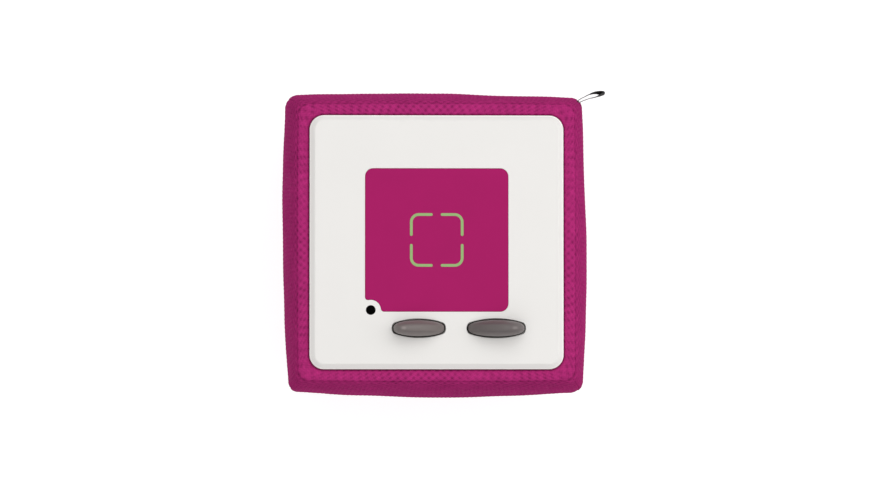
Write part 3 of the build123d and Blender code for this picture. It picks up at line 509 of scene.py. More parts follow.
@dataclass(frozen=True)
class Knit(Finish):
    """Warp knit with staggered pits between ridges of V-shaped stitches."""

    pitch_along: float = 3.4
    pitch_up: float = 2.9
    light: float = 1.16
    pit_power: float = 2.4
    pit_shade: float = 0.46
    patch_size: float = 14.0
    patch_range: Pair = (0.3, 0.65)
    patch_share: Pair = (0.45, 1.0)
    stitch: float = 0.7
    stitch_light: Pair = (0.89, 1.07)
    cloud_size: float = 9.0
    cloud_light: float = 0.16
    tuft_size: float = 2.2
    tuft_light: float = 0.5
    yarn_size: float = 0.24
    yarn_detail: float = 3.0
    yarn_light: Pair = (0.88, 1.12)
    yarn_dulls: float = 0.1
    nap: float = 0.09
    nap_range: Pair = (54.0, 59.0)
    hem: Pair = (61.7, 62.5)
    hem_shade: float = 0.35
    seam: Pair = (0.1, 0.9)
    seam_shade: float = 0.24
    thread: float = 2.2
    thread_light: float = 0.08
    ridge_height: float = 0.16
    stitch_height: float = 0.05
    yarn_height: float = 0.08
    thread_height: float = 0.5
    bump: float = 0.7
    sheen: float = 0.2
    sheen_spread: float = 0.07
    sheen_tint: Colour = (0.72, 0.56, 0.66)

    def relief(self, along: float, up: float) -> float:
        """Height of the ridges over the pits, from 0 to 1.

        Args:
            along: Place across the panel, in millimetres.
            up: Place up the panel, in millimetres.

        Returns:
            The height.
        """
        weave = math.cos(TURN * along / self.pitch_along) * math.cos(TURN * up / self.pitch_up)
        return 1 - (0.5 - 0.5 * weave) ** 2

    def dress(self, bench: Bench) -> dict[str, object]:
        """Pits, stitches and yarn, with painted shade in the pits, along each seam's groove, on the
        side panels and on the hem beside the plate.

        Args:
            bench: The node tree of the material.

        Returns:
            The shader's sockets that are set.
        """
        along, up, seam = bench.parts(bench.attribute("weave"))
        here = bench.here()
        weave = along.wave(self.pitch_along) * up.wave(self.pitch_up)
        pit = (0.5 - weave * 0.5) ** self.pit_power
        patch = bench.grain(here, self.patch_size).ramp(*self.patch_range)
        column = along.zigzag(self.pitch_along / 2)
        stitch = (up + column * self.stitch).ridges(self.stitch)
        yarn = bench.grain(here, self.yarn_size, self.yarn_detail)
        # Painted shade along the groove of each seam.
        near_seam = 1 - seam.ramp(*self.seam)
        thread = near_seam * (along + up).wave(self.thread) * self.thread_light
        # Painted shade in the pits between the ridges, in patches.
        level = self.light - pit * patch.between(*self.patch_share) * self.pit_shade
        level = level * stitch.between(*self.stitch_light)
        level = level + bench.cloud(here, self.cloud_size) * self.cloud_light
        level = level + bench.cloud(here, self.tuft_size) * self.tuft_light
        # Painted shade: the side panels are darker than the strips.
        level = level * (1 - self.nap * (1 - up.beyond(*self.nap_range)))
        level = level * yarn.between(*self.yarn_light) * (1 - near_seam * self.seam_shade) + thread
        # Painted shade where the cloth turns down into the crevice beside the plate.
        level = level * (1 - up.beyond(*self.hem) * self.hem_shade)
        height = (1 - pit) * self.ridge_height + stitch * self.stitch_height
        height = height + yarn * self.yarn_height + thread * self.thread_height
        return {
            "Base Color": self.tinted(bench, level),
            "Roughness": self.roughness + yarn * self.yarn_dulls,
            "Normal": bench.bump(height, self.bump),
            "Sheen Weight": self.sheen,
            "Sheen Roughness": self.sheen_spread,
            "Sheen Tint": self.sheen_tint,
        }


@dataclass(frozen=True)
class Ribbon(Finish):
    """Woven ribbon: fine cross ribs, and paler grey near its root."""

    rib: float = 0.42
    rib_light: float = 0.4
    rib_height: float = 0.05
    warp: float = 0.6
    warp_light: float = 0.2
    fuzz_size: float = 0.2
    fuzz_detail: float = 3.0
    fuzz_light: float = 0.3
    fine_height: float = 0.02
    light: float = 0.7
    rubbed: Colour = (0.34, 0.36, 0.36)
    rubbed_range: Pair = (1.0, 6.0)
    sheen: float = 0.05
    sheen_spread: float = 0.4

    def dress(self, bench: Bench) -> dict[str, object]:
        """Ribs across the ribbon, with warp threads along it.

        Args:
            bench: The node tree of the material.

        Returns:
            The shader's sockets that are set.
        """
        along, across, reach = bench.parts(bench.attribute("weave"))
        rib, warp = along.ridges(self.rib), across.ridges(self.warp)
        fuzz = bench.grain(bench.here(), self.fuzz_size, self.fuzz_detail)
        # Paler grey near the root of each strand, black beyond.
        near_root = 1 - reach.ramp(*self.rubbed_range)
        shade = bench.blend(near_root, self.colour, self.rubbed)
        level = self.light + rib * self.rib_light + warp * self.warp_light
        level = level + fuzz * self.fuzz_light
        height = rib * self.rib_height + warp * self.fine_height + fuzz * self.fine_height
        return {
            "Base Color": bench.scaled(shade, level),
            "Normal": bench.bump(height),
            "Sheen Weight": self.sheen,
            "Sheen Roughness": self.sheen_spread,
        }


@dataclass(frozen=True)
class Foam(Finish):
    """Open-cell foam."""

    cell: float = 0.9
    cell_range: Pair = (0.1, 0.6)
    cell_light: Pair = (0.72, 1.06)
    cell_height: float = 0.25
    cloud_size: float = 12.0
    cloud: float = 0.1

    def dress(self, bench: Bench) -> dict[str, object]:
        """Small open cells under a faint cloudiness.

        Args:
            bench: The node tree of the material.

        Returns:
            The shader's sockets that are set.
        """
        here = bench.here()
        cell = bench.cells(here, self.cell).ramp(*self.cell_range)
        level = cell.between(*self.cell_light) + bench.cloud(here, self.cloud_size) * self.cloud
        return {
            "Base Color": self.tinted(bench, level),
            "Normal": bench.bump(cell * self.cell_height),
        }


@dataclass(frozen=True)
class Metal(Finish):
    """Plated or drawn metal."""

    brushed: float = 0.12
    brushed_height: float = 0.006
    brushed_dulls: float = 0.1
    wear_size: float = 1.8
    wear_detail: float = 4.0
    wear_light: Pair = (0.86, 1.14)
    wear_dulls: float = 0.2

    def dress(self, bench: Bench) -> dict[str, object]:
        """Fine wear in colour and roughness.

        Args:
            bench: The node tree of the material.

        Returns:
            The shader's sockets that are set.
        """
        here = bench.here()
        wear = bench.grain(here, self.wear_size, self.wear_detail)
        fine = bench.grain(here, self.brushed)
        dull = self.roughness + (wear - 0.5) * self.wear_dulls
        return {
            "Base Color": self.tinted(bench, wear.between(*self.wear_light)),
            "Metallic": 1.0,
            "Roughness": dull + (fine - 0.5) * self.brushed_dulls,
            "Normal": bench.bump(fine * self.brushed_height),
        }


@dataclass(frozen=True)
class Board(Finish):
    """Circuit board: solder mask over tracks, with bare pads."""

    track: Colour = (0.03, 0.27, 0.12)
    track_cell: float = 3.1
    track_edge: Pair = (0.1, 0.04)
    track_height: float = 0.04
    pad: Colour = (0.62, 0.5, 0.28)
    pad_cell: float = 2.3
    pad_edge: Pair = (0.16, 0.12)
    pad_height: float = 0.03
    pad_dulls: float = 0.15
    pad_metal: float = 0.8

    def dress(self, bench: Bench) -> dict[str, object]:
        """The edges of cells give the tracks, and small dots the pads.

        Args:
            bench: The node tree of the material.

        Returns:
            The shader's sockets that are set.
        """
        here = bench.here()
        tracks = bench.cells(here, self.track_cell, "DISTANCE_TO_EDGE").ramp(*self.track_edge)
        pads = bench.cells(here, self.pad_cell).ramp(*self.pad_edge)
        colour = bench.blend(tracks, self.colour, self.track)
        return {
            "Base Color": bench.blend(pads, colour, self.pad),
            "Roughness": self.roughness + pads * self.pad_dulls,
            "Metallic": pads * self.pad_metal,
            "Normal": bench.bump(tracks * self.track_height + pads * self.pad_height),
        }


@dataclass(frozen=True)
class Paper(Finish):
    """Coated paper pulp with fibres."""

    fibre: float = 0.5
    fibre_detail: float = 4.0
    fibre_light: Pair = (0.75, 1.25)
    fibre_height: float = 0.06

    def dress(self, bench: Bench) -> dict[str, object]:
        """Fibres in colour and height.

        Args:
            bench: The node tree of the material.

        Returns:
            The shader's sockets that are set.
        """
        fibre = bench.grain(bench.here(), self.fibre, self.fibre_detail)
        return {
            "Base Color": self.tinted(bench, fibre.between(*self.fibre_light)),
            "Normal": bench.bump(fibre * self.fibre_height),
        }


class Finishes(Enum):
    """The finishes of this player. Each member's name is that of its material slot."""

    knit = Knit("magenta_knit", linear(164, 42, 107), 0.85, 0.0)
    ribbon = Ribbon("black_ribbon", (0.005, 0.005, 0.005), 0.8, 0.1)
    foam = Foam("soft_foam", (0.8, 0.8, 0.77), 0.9, 0.2)
    plate_white = RimHighlightMoulded("plate_plastic", linear(234, 232, 229), 0.5, 0.25)
    platform_magenta = Moulded("platform_plastic", linear(166, 28, 98), 0.6, 0.05, cloud=0.1)
    base_white = Moulded("base_plastic", linear(228, 226, 222), 0.55, 0.3)
    ring_rubber = Rubber("ring_rubber", (0.045, 0.045, 0.048), 0.8, 0.3)
    ear_rubber = SmokyRubber("ear_silicone", linear(119, 111, 109), 0.5, 0.25)
    ear_rubber_thick = SmokyRubber("thick_ear_silicone", linear(109, 102, 101), 0.5, 0.25)
    carcass = Moulded("carcass_plastic", (0.12, 0.12, 0.13), 0.6, 0.35, 0.5, 0.02)
    black_plastic = Moulded("black_plastic", (0.012, 0.012, 0.013), 0.5, 0.35)
    natural_plastic = Moulded("natural_plastic", (0.68, 0.66, 0.6), 0.5, 0.4)
    steel = Metal("plated_steel", (0.55, 0.55, 0.56), 0.32)
    spring_steel = Metal("spring_wire", (0.5, 0.5, 0.5), 0.25)
    gold = Metal("gold_plate", (0.83, 0.6, 0.24), 0.24)
    copper = Metal("copper", (0.72, 0.36, 0.2), 0.35)
    board_green = Board("circuit_board", (0.012, 0.15, 0.06), 0.35, 0.5)
    lead_white = Moulded("diode_lens", (0.85, 0.85, 0.78), 0.2, 0.5)
    magnet = Moulded("ferrite", (0.06, 0.06, 0.065), 0.6, 0.4, 0.2, 0.02)
    cone_paper = Paper("cone_paper", (0.02, 0.02, 0.022), 0.75, 0.3)
    surround_rubber = Rubber("surround_rubber", (0.02, 0.02, 0.02), 0.6, 0.4)
    cell_wrap = Moulded("cell_wrap", (0.06, 0.2, 0.42), 0.3, 0.5, 0.8, 0.01)
    lead_black = Rubber("lead_sleeve", (0.02, 0.02, 0.02), 0.5, 0.4)
    mark_green = Moulded("mark_print", linear(151, 182, 120), 0.6, 0.05)


# ---------------------------------------------------------------- mesh work
def woven(columns: int, rows: int, place: Place) -> bmesh.types.BMesh:
    """Bends a grid into a surface, and joins it where its edges meet.

    Args:
        columns: Faces across the grid.
        rows: Faces up the grid.
        place: Gives the place in millimetres of a column and a row.

    Returns:
        The mesh, in metres. Its vertices keep their column and row in two layers.
    """
    mesh = bmesh.new()
    column_layer = mesh.verts.layers.int.new("column")
    row_layer = mesh.verts.layers.int.new("row")
    bmesh.ops.create_grid(mesh, x_segments=columns, y_segments=rows, size=1)
    for vertex in mesh.verts:
        column, row = (
            round((part + 1) / 2 * count) for part, count in zip(vertex.co, (columns, rows))
        )
        vertex[column_layer], vertex[row_layer] = column, row
        vertex.co = place(column, row) * MM
    bmesh.ops.remove_doubles(mesh, verts=mesh.verts, dist=WELD)
    return mesh


def knots(mesh: bmesh.types.BMesh) -> Iterator[tuple[bmesh.types.BMVert, int, int]]:
    """Goes through the vertices of a woven mesh.

    Args:
        mesh: The mesh, as woven gives it.

    Returns:
        Each vertex, with its column and its row.
    """
    column_layer = mesh.verts.layers.int["column"]
    row_layer = mesh.verts.layers.int["row"]
    for vertex in mesh.verts:
        yield vertex, vertex[column_layer], vertex[row_layer]


def outward(mesh: bmesh.types.BMesh) -> bmesh.types.BMesh:
    """Turns the faces of a closed mesh outwards.

    Args:
        mesh: The mesh.

    Returns:
        The same mesh.
    """
    bmesh.ops.recalc_face_normals(mesh, faces=mesh.faces)
    if mesh.calc_volume(signed=True) < 0:
        bmesh.ops.reverse_faces(mesh, faces=mesh.faces)
    return mesh


def capped(mesh: bmesh.types.BMesh) -> bmesh.types.BMesh:
    """Closes the open ends of a mesh, and turns its faces outwards.

    Args:
        mesh: The mesh.

    Returns:
        The same mesh.
    """
    rims = [edge for edge in mesh.edges if edge.is_boundary]
    bmesh.ops.holes_fill(mesh, edges=rims, sides=0)
    return outward(mesh)


def merged(node: str, weld: float = 2e-7, flat: float = 0.4) -> bmesh.types.BMesh:
    """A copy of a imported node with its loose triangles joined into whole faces.

    Args:
        node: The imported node.
        weld: Distance in metres below which two vertices are one.
        flat: Angle in degrees below which two triangles are one face.

    Returns:
        The copy, in metres.
    """
    mesh = bmesh.new()
    mesh.from_mesh(frame["nodes"][node].data)
    bmesh.ops.remove_doubles(mesh, verts=mesh.verts, dist=weld)
    angle = math.radians(flat)
    bmesh.ops.dissolve_limit(mesh, angle_limit=angle, verts=mesh.verts, edges=mesh.edges)
    return mesh


def meshed(mesh: bmesh.types.BMesh, name: str) -> bpy.types.Mesh:
    """Turns a working mesh into mesh data.

    Args:
        mesh: The working mesh, which is used up.
        name: Name of the data.

    Returns:
        The data.
    """
    data = bpy.data.meshes.new(name)
    mesh.to_mesh(data)
    mesh.free()
    return data


def placed(name: str, data: bpy.types.ID) -> bpy.types.Object:
    """Puts a new object with some data into the scene.

    Args:
        name: The object's name.
        data: Its mesh, lamp or camera.

    Returns:
        The object.
    """
    made = bpy.data.objects.new(name, data)
    bpy.context.scene.collection.objects.link(made)
    return made


def dropped(*objects: bpy.types.Object) -> None:
    """Removes objects with their meshes.

    Args:
        objects: The objects.
    """
    for made in objects:
        data = made.data
        bpy.data.objects.remove(made)
        bpy.data.meshes.remove(data)


def settle(
    mesh: bmesh.types.BMesh,
    name: str,
    slot: Finishes,
    stands_for: Sequence[str] = (),
    sharp: float = 35.0,
    body: str | None = "player",
) -> bpy.types.Object:
    """Makes a piece of the player from a mesh.

    Args:
        mesh: The mesh, in metres, which is used up.
        name: The piece's name.
        slot: The finish, whose name is the record's slot.
        stands_for: The CAD nodes that it replaces.
        sharp: Angle in degrees above which an edge stays sharp.
        body: The CAD body that it rides on, or None for a piece on no body.

    Returns:
        The piece.
    """
    data = meshed(mesh, name)
    data.materials.append(slot.value.material())
    data.shade_smooth()
    data.set_sharp_from_angle(angle=math.radians(sharp))
    piece = placed(name, data)
    if body:
        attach(piece, body)
    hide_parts(*stands_for)
    LOG.info("%s: %d faces", name, len(data.polygons))
    return piece


def body_of(node: str) -> str:
    """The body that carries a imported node."""
    return frame["nodes"][node]["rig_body"]


def chosen(
    mesh: bmesh.types.BMesh, test: Test, least_turn: float = 20.0
) -> list[bmesh.types.BMEdge]:
    """The sharp edges of a mesh that lie where a test says.

    Args:
        mesh: The mesh.
        test: Tells of a place in millimetres whether it is wanted.
        least_turn: Least angle in degrees between the edge's two faces.

    Returns:
        The edges whose two ends pass the test.
    """
    return [
        edge
        for edge in mesh.edges
        if len(edge.link_faces) == 2
        and edge.calc_face_angle(0) > math.radians(least_turn)
        and all(test(millimetres(vertex.co)) for vertex in edge.verts)
    ]


def soften(
    mesh: bmesh.types.BMesh, edges: Sequence[bmesh.types.BMEdge], width: float, segments: int
) -> None:
    """Rounds edges.

    Args:
        mesh: The mesh.
        edges: The edges that are rounded.
        width: Width of the rounding, in millimetres.
        segments: Faces across the rounding.
    """
    bmesh.ops.bevel(
        mesh,
        geom=list(edges),
        offset=width * MM,
        offset_type="OFFSET",
        affect="EDGES",
        segments=segments,
        profile=0.5,
        material=-1,
        clamp_overlap=True,
    )


def moulding(
    node: str, name: str, finish: Finishes, *rounds: tuple[Test, float, int]
) -> None:
    """Makes a packed moulding with some edges rounded, and its wide faces flat beside them.

    Args:
        node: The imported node.
        name: The piece's name.
        finish: The finish.
        rounds: Which edges are rounded, over what width in millimetres, and by how many faces.
    """
    mesh = merged(node)
    for test, width, segments in rounds:
        soften(mesh, chosen(mesh, test), width, segments)
    piece = settle(mesh, name, finish, [node], 40)
    modifier = piece.modifiers.new("flat faces", "WEIGHTED_NORMAL")
    modifier.keep_sharp = True
    modifier.weight = 100


def parted(
    geometry: Sequence[object],
) -> tuple[list[bmesh.types.BMVert], list[bmesh.types.BMEdge]]:
    """The vertices and the edges of what an operator gives back."""
    kinds = (bmesh.types.BMVert, bmesh.types.BMEdge)
    return tuple([part for part in geometry if isinstance(part, kind)] for kind in kinds)


def turned(profile: Sequence[Pair], steps: int) -> bmesh.types.BMesh:
    """A solid of revolution about the Z axis.

    Args:
        profile: Radius and height of each point, in millimetres, from pole to pole or round a ring.
        steps: Faces round the axis.

    Returns:
        The closed mesh.
    """
    mesh = bmesh.new()
    points = [mesh.verts.new((radius * MM, 0, height * MM)) for radius, height in profile]
    edges = [mesh.edges.new(pair) for pair in zip(points, points[1:])]
    about = {"axis": (0, 0, 1), "cent": (0, 0, 0), "angle": TURN}
    bmesh.ops.spin(mesh, geom=points + edges, steps=steps, use_merge=True, **about)
    bmesh.ops.remove_doubles(mesh, verts=mesh.verts, dist=WELD)
    return outward(mesh)


# ---------------------------------------------------------------- knit cover
@dataclass(frozen=True)
class Station:
    """One ring of the cover.

    It holds the half width and the radius of its corners, how far its sides bulge, its height, the
    length of cloth up to it, its distance from the upper or lower seam, and if it is outside.
    """

    corner: float
    radius: float
    belly: float
    height: float
    up: float = 0.0
    seam: float = FAR
    outer: bool = True


@dataclass
class KnitCover:
    """Sewn cover: four side panels between a top and a bottom strip, over foam."""

    seam_half: float = PLATE_HALF + 4.9
    swell: float = 4.4
    belly: float = 1.0
    seam_belly_share: float = 0.35
    edge_power: float = 4.0
    corner_radius: float = 4.2
    opening_half: float = PLATE_HALF + 0.03
    opening_radius: float = 5.9
    thickness: float = 2.0
    roll_radius: float = 1.2
    roll_depth: float = 1.4
    strip_crown: float = 0.55
    wall_shares: tuple[float, ...] = (1, 0.99, 0.96, 0.88, 0.7, 0.35)
    fine_steps: int = 600
    column_step: float = 0.85
    row_step: float = 0.74
    seam_rows: tuple[float, ...] = (0.18, 0.36, 0.58, 0.85, 1.2)
    seam_depth: float = 0.5
    seam_width: float = 0.5
    corner_seam_depth: float = 0.05
    corner_seam_shade: float = 0.55
    calm_width: float = 1.5
    knit_height: float = 0.34
    lump_height: float = 0.22
    lump_size: float = 16.0
    puff: float = 0.7
    slump: tuple[tuple[float, ...], ...] = (
        (-0.55, -0.25, 0.35, 0.0, -0.25),
        (0.15, 0.75, 0.85, 0.1, -0.1),
        (-0.25, -0.2, 0.45, 0.5, 0.75),
        (0.55, 0.4, -0.05, -0.45, -0.8),
    )
    puff_columns: int = 20
    puff_rows: int = 26
    puff_crowding: float = 0.92
    pressure: float = 4.0
    pressure_frames: int = 20
    cloth_quality: int = 6
    high: float = field(init=False)
    middle: float = field(init=False)
    half: float = field(init=False)
    straight: float = field(init=False)
    reach: float = field(init=False)
    total: float = field(init=False)
    columns: list[float] = field(init=False)
    stations: list[Station] = field(init=False)

    def __post_init__(self) -> None:
        """Works out the rings and the columns."""
        low, high = (corner.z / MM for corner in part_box("fabric_cover"))
        self.high, self.middle, self.half = high, (high + low) / 2, (high - low) / 2
        self.straight = self.seam_half + self.swell - self.corner_radius
        self.reach = self.straight + self.corner_radius * math.pi / 4
        marks = self.side_marks()
        self.total = marks[-1][1]
        self.columns = self.side_columns()
        self.stations = self.rings(marks)

    def side_columns(self) -> list[float]:
        """Places across one side panel, closer together beside its two corner seams.

        Returns:
            The places, from the left corner seam to the right one.
        """
        near = [self.reach - width for width in (0, *self.seam_rows)]
        count = round(near[-1] / self.column_step)
        inner = [near[-1] * index / count for index in range(count)]
        half = inner + near[::-1]
        return [-place for place in half[:0:-1]] + half

    def shoulder(self, share: float) -> Pair:
        """Corner and belly of the side panel at a share of the half height.

        Args:
            share: Share of the way from the middle of the cover to its seam.

        Returns:
            Half of the width between two corners, and how far the side bulges beyond it.
        """
        swell = 1 - abs(share) ** self.edge_power
        corner = self.seam_half + self.swell * swell
        sag = self.seam_belly_share + (1 - self.seam_belly_share) * swell
        return corner, self.belly * sag

    def side_marks(self) -> list[Pair]:
        """Places up the upper half of a side panel, closer together beside its seam.

        Returns:
            For each, the share of the half height, and the length of cloth from the middle.
        """
        fine = self.fine_steps
        table = [(0.0, 0.0)]
        for index in range(1, fine + 1):
            share = index / fine
            step = self.shoulder(share)[0] - self.shoulder((index - 1) / fine)[0]
            table.append((share, table[-1][1] + math.hypot(self.half / fine, step)))
        total = table[-1][1]
        near = [total - width for width in (0, *self.seam_rows)]
        count = round(near[-1] / self.row_step)
        wanted = [near[-1] * index / count for index in range(count)] + near[::-1]
        lengths = [length for _, length in table]
        marks = []
        for length in wanted:
            at = span_at(lengths, length)
            (share_low, length_low), (share_high, length_high) = table[at : at + 2]
            run = length_high - length_low
            marks.append((lerp(share_low, share_high, (length - length_low) / run), length))
        return marks

    def rings(self, marks: Sequence[Pair]) -> list[Station]:
        """Every ring, from the bottom opening up to the top one and back down inside.

        Args:
            marks: Places up the upper half of a side panel, as side_marks gives them.

        Returns:
            The rings. The last one is the first one again.
        """
        upper = []
        for share, length in marks:
            corner, belly = self.shoulder(share)
            height, seam = self.middle + self.half * share, self.total - length
            upper.append(Station(corner, self.corner_radius, belly, height, length, seam))
        upper += self.strip_rings(upper[-1])
        lower = [
            replace(ring, height=2 * self.middle - ring.height, up=-ring.up) for ring in upper
        ]
        outer = lower[:0:-1] + upper
        return outer + self.inner_rings() + [outer[0]]

    def strip_rings(self, seam: Station) -> list[Station]:
        """Rings of the strip from the seam to the plate, and down into the crevice beside it.

        Args:
            seam: The ring that the seam follows.

        Returns:
            The rings after it.
        """
        width = seam.corner - self.opening_half - self.roll_radius
        near = list(self.seam_rows)
        count = max(2, round((width - near[-1]) / self.row_step))
        away = near + [lerp(near[-1], width, (index + 1) / count) for index in range(count)]
        rings = []
        for distance in away:
            share = distance / (width + self.roll_radius)
            rings.append(
                Station(
                    seam.corner - distance,
                    lerp(seam.radius, self.opening_radius, share),
                    seam.belly * (1 - share),
                    self.high + self.strip_crown * math.sin(math.pi * min(1, distance / width)),
                    seam.up + distance,
                    distance,
                )
            )
        turn = math.radians(30)
        for step in (1, 2, 3):
            half = self.opening_half + self.roll_radius * (1 - math.sin(step * turn))
            height = self.high - self.roll_radius * (1 - math.cos(step * turn))
            up = rings[-1].up + self.roll_radius * turn
            rings.append(Station(half, self.opening_radius, 0, height, up))
        foot = rings[-1]
        rings.append(replace(foot, height=foot.height - self.roll_depth, up=foot.up + 1))
        return rings

    def inner_rings(self) -> list[Station]:
        """Rings of the inner wall, from the top opening down to the bottom one.

        Returns:
            The rings.
        """
        radius = self.corner_radius - self.thickness / 2
        upper = self.wall_shares
        rings = []
        for share in (*upper, 0, *(-share for share in upper[::-1])):
            corner, belly = self.shoulder(share)
            height = self.middle + (self.half - self.thickness) * share
            wall = corner - self.thickness
            rings.append(Station(wall, radius, belly, height, outer=False))
        mouth = self.opening_half + self.thickness / 2
        top, bottom = (
            Station(mouth, self.opening_radius, 0, ring.height, outer=False)
            for ring in (rings[0], rings[-1])
        )
        return [top, *rings, bottom]

    def spot(self, across: float, station: Station) -> Pair:
        """Plan place on the front side of a ring.

        Args:
            across: Place across the panel, from the middle of the side.
            station: The ring.

        Returns:
            The place along X, and the place outwards.
        """
        flat = station.corner - station.radius
        if abs(across) <= self.straight:
            x, out = across * flat / self.straight, station.corner
        else:
            bend = (self.reach - self.straight) / (math.pi / 4)
            angle = (abs(across) - self.straight) / bend
            x = math.copysign(flat + station.radius * math.sin(angle), across)
            out = flat + station.radius * math.cos(angle)
        bow_side, bow = (
            max(0.0, 1 - (place / station.corner) ** 2) * station.belly for place in (out, x)
        )
        return x + math.copysign(bow_side, x), out + bow

    def place(self, side: int, across: float, station: Station) -> Vector:
        """The place in millimetres of a point of one side."""
        x, out = self.spot(across, station)
        return Matrix.Rotation(side * math.pi / 2, 3, "Z") @ Vector((x, -out, station.height))

    def swollen(self) -> list[list[float]]:
        """How far the foam pushes each part of the side panels out, by a cloth simulation.

        Returns:
            A table by row and column, as shares of the furthest place, which is 1.
        """
        panels, rows = 4 * self.puff_columns, self.puff_rows
        heights = [self.side_share(index) for index in range(rows + 1)]

        def place(column: int, row: int) -> Vector:
            """The place of a point of the coarse cover.

            Args:
                column: Column of the grid.
                row: Row of the grid.

            Returns:
                The place, in millimetres.
            """
            side, step = divmod(column % panels, self.puff_columns)
            across = lerp(-self.reach, self.reach, step / self.puff_columns)
            corner, belly = self.shoulder(heights[row])
            level = self.middle + self.half * heights[row]
            return self.place(side, across, Station(corner, self.corner_radius, belly, level))

        mesh = woven(panels, rows, place)
        bmesh.ops.recalc_face_normals(mesh, faces=mesh.faces)
        mesh.normal_update()
        keys, pinned = [], []
        for vertex, column, row in knots(mesh):
            if row in (0, rows) or column % self.puff_columns == 0:
                pinned.append(len(keys))
            keys.append((row, column % panels, vertex.co.copy(), vertex.normal.copy()))
        cloth = placed("puff", meshed(mesh, "puff"))
        moved = self.simulate(cloth, pinned)
        dropped(cloth)
        out = [[0.0] * (panels + 1) for _ in range(rows + 1)]
        for (row, column, start, normal), end in zip(keys, moved):
            sign = math.copysign(1, normal.xy.dot(start.xy))
            out[row][column] = max(0.0, (end - start).dot(normal) * sign)
        for line in out:
            line[panels] = line[0]
        most = max(max(line) for line in out) or 1.0
        LOG.info("cover: cloth moved %.1f mm at most before its cap", most / MM)
        return [[value / most for value in line] for line in out]

    def side_share(self, row: int) -> float:
        """Share of the half height of one row of the simulated cloth, closer near the seams."""
        rise = math.sin((row / self.puff_rows - 0.5) * math.pi * self.puff_crowding)
        return rise / math.sin(self.puff_crowding / 2 * math.pi)

    def simulate(self, cloth: bpy.types.Object, pinned: Sequence[int]) -> list[Vector]:
        """Blows the cover up a little with its seams held.

        Args:
            cloth: The coarse cover.
            pinned: Its vertices along the seams.

        Returns:
            Where each vertex ends.
        """
        seams = cloth.vertex_groups.new(name="seams")
        seams.add(list(pinned), 1.0, "REPLACE")
        modifier = cloth.modifiers.new("cloth", "CLOTH")
        settings = modifier.settings
        settings.vertex_group_mass = "seams"
        settings.use_pressure = True
        settings.uniform_pressure_force = self.pressure
        settings.quality = self.cloth_quality
        settings.effector_weights.gravity = 0.0
        scene = bpy.context.scene
        for step in range(self.pressure_frames):
            scene.frame_set(step + 1)
        graph = bpy.context.evaluated_depsgraph_get()
        shape = cloth.evaluated_get(graph).to_mesh()
        places = [vertex.co.copy() for vertex in shape.vertices]
        scene.frame_set(1)
        return places

    def sample(self, table: list[list[float]], side: int, across: float, height: float) -> float:
        """Value of the simulated table at a place on a side panel.

        Args:
            table: The table that swollen gives.
            side: Number of the side, from the front on.
            across: Place across the panel, from its middle.
            height: Height above the floor.

        Returns:
            The value, blended between the four points around the place.
        """
        rise = [self.side_share(row) for row in range(self.puff_rows + 1)]
        share = clamp((height - self.middle) / self.half, -1.0, 1.0)
        row = span_at(rise, share)
        up = eased((share - rise[row]) / (rise[row + 1] - rise[row]))
        column = (side + (across + self.reach) / (2 * self.reach)) * self.puff_columns
        first = min(4 * self.puff_columns - 1, int(column))
        over = eased(column - first)
        low, high = (lerp(line[first], line[first + 1], over) for line in table[row : row + 2])
        return lerp(low, high, up)

    def slumped(self, side: int, across: float, share: float) -> float:
        """How far handling has pushed a side panel out of shape.

        Args:
            side: Number of the side, from the front on.
            across: Place across the panel, from its middle.
            share: Share of the way from the middle of the cover to its seam.

        Returns:
            The distance outwards.
        """
        table = self.slump[side]
        at = (across / self.reach + 1) / 2 * (len(table) - 1)
        first = min(len(table) - 2, int(at))
        return lerp(table[first], table[first + 1], eased(at - first)) * (1 - share**4)

    def puffed(
        self, table: list[list[float]], side: int, across: float, height: float
    ) -> float:
        """Share of the furthest swelling at a place, from the cloth or else from a plain dome.

        Args:
            table: The table that swollen gives, or an empty one.
            side: Number of the side, from the front on.
            across: Place across the panel, from its middle.
            height: Height above the floor.

        Returns:
            The share, from 0 to 1.
        """
        if table:
            return self.sample(table, side, across, height)
        rise = (height - self.middle) / self.half
        return (1 - rise**2) * (1 - (across / self.reach) ** 2)

    def build(self) -> None:
        """Makes the cover: cloth first, then its seams, knit and lumps."""
        steps = len(self.columns) - 1
        panels, rows = 4 * steps, len(self.stations) - 1
        table = self.swollen()

        def place(column: int, row: int) -> Vector:
            """The place of a point of the smooth cover."""
            side, step = divmod(column % panels, steps)
            return self.place(side, self.columns[step], self.stations[row])

        mesh = outward(woven(panels, rows, place))
        mesh.normal_update()
        weave_layer = mesh.verts.layers.float_vector.new("weave")
        moves = []
        for vertex, column, row in knots(mesh):
            side, step = divmod(column % panels, steps)
            across, ring = self.columns[step], self.stations[row]
            beside = self.reach - abs(across) + self.corner_seam_shade
            seam = min(beside if abs(ring.up) < self.total else FAR, ring.seam)
            vertex[weave_layer] = (abs(across), ring.up, seam)
            moves.append(self.moved(table, side, across, ring, vertex.co) if ring.outer else 0.0)
        for vertex, move in zip(mesh.verts, moves):
            vertex.co += vertex.normal * move * MM
        cover = settle(mesh, "knit_cover", Finishes.knit, ["fabric_cover"], 60)

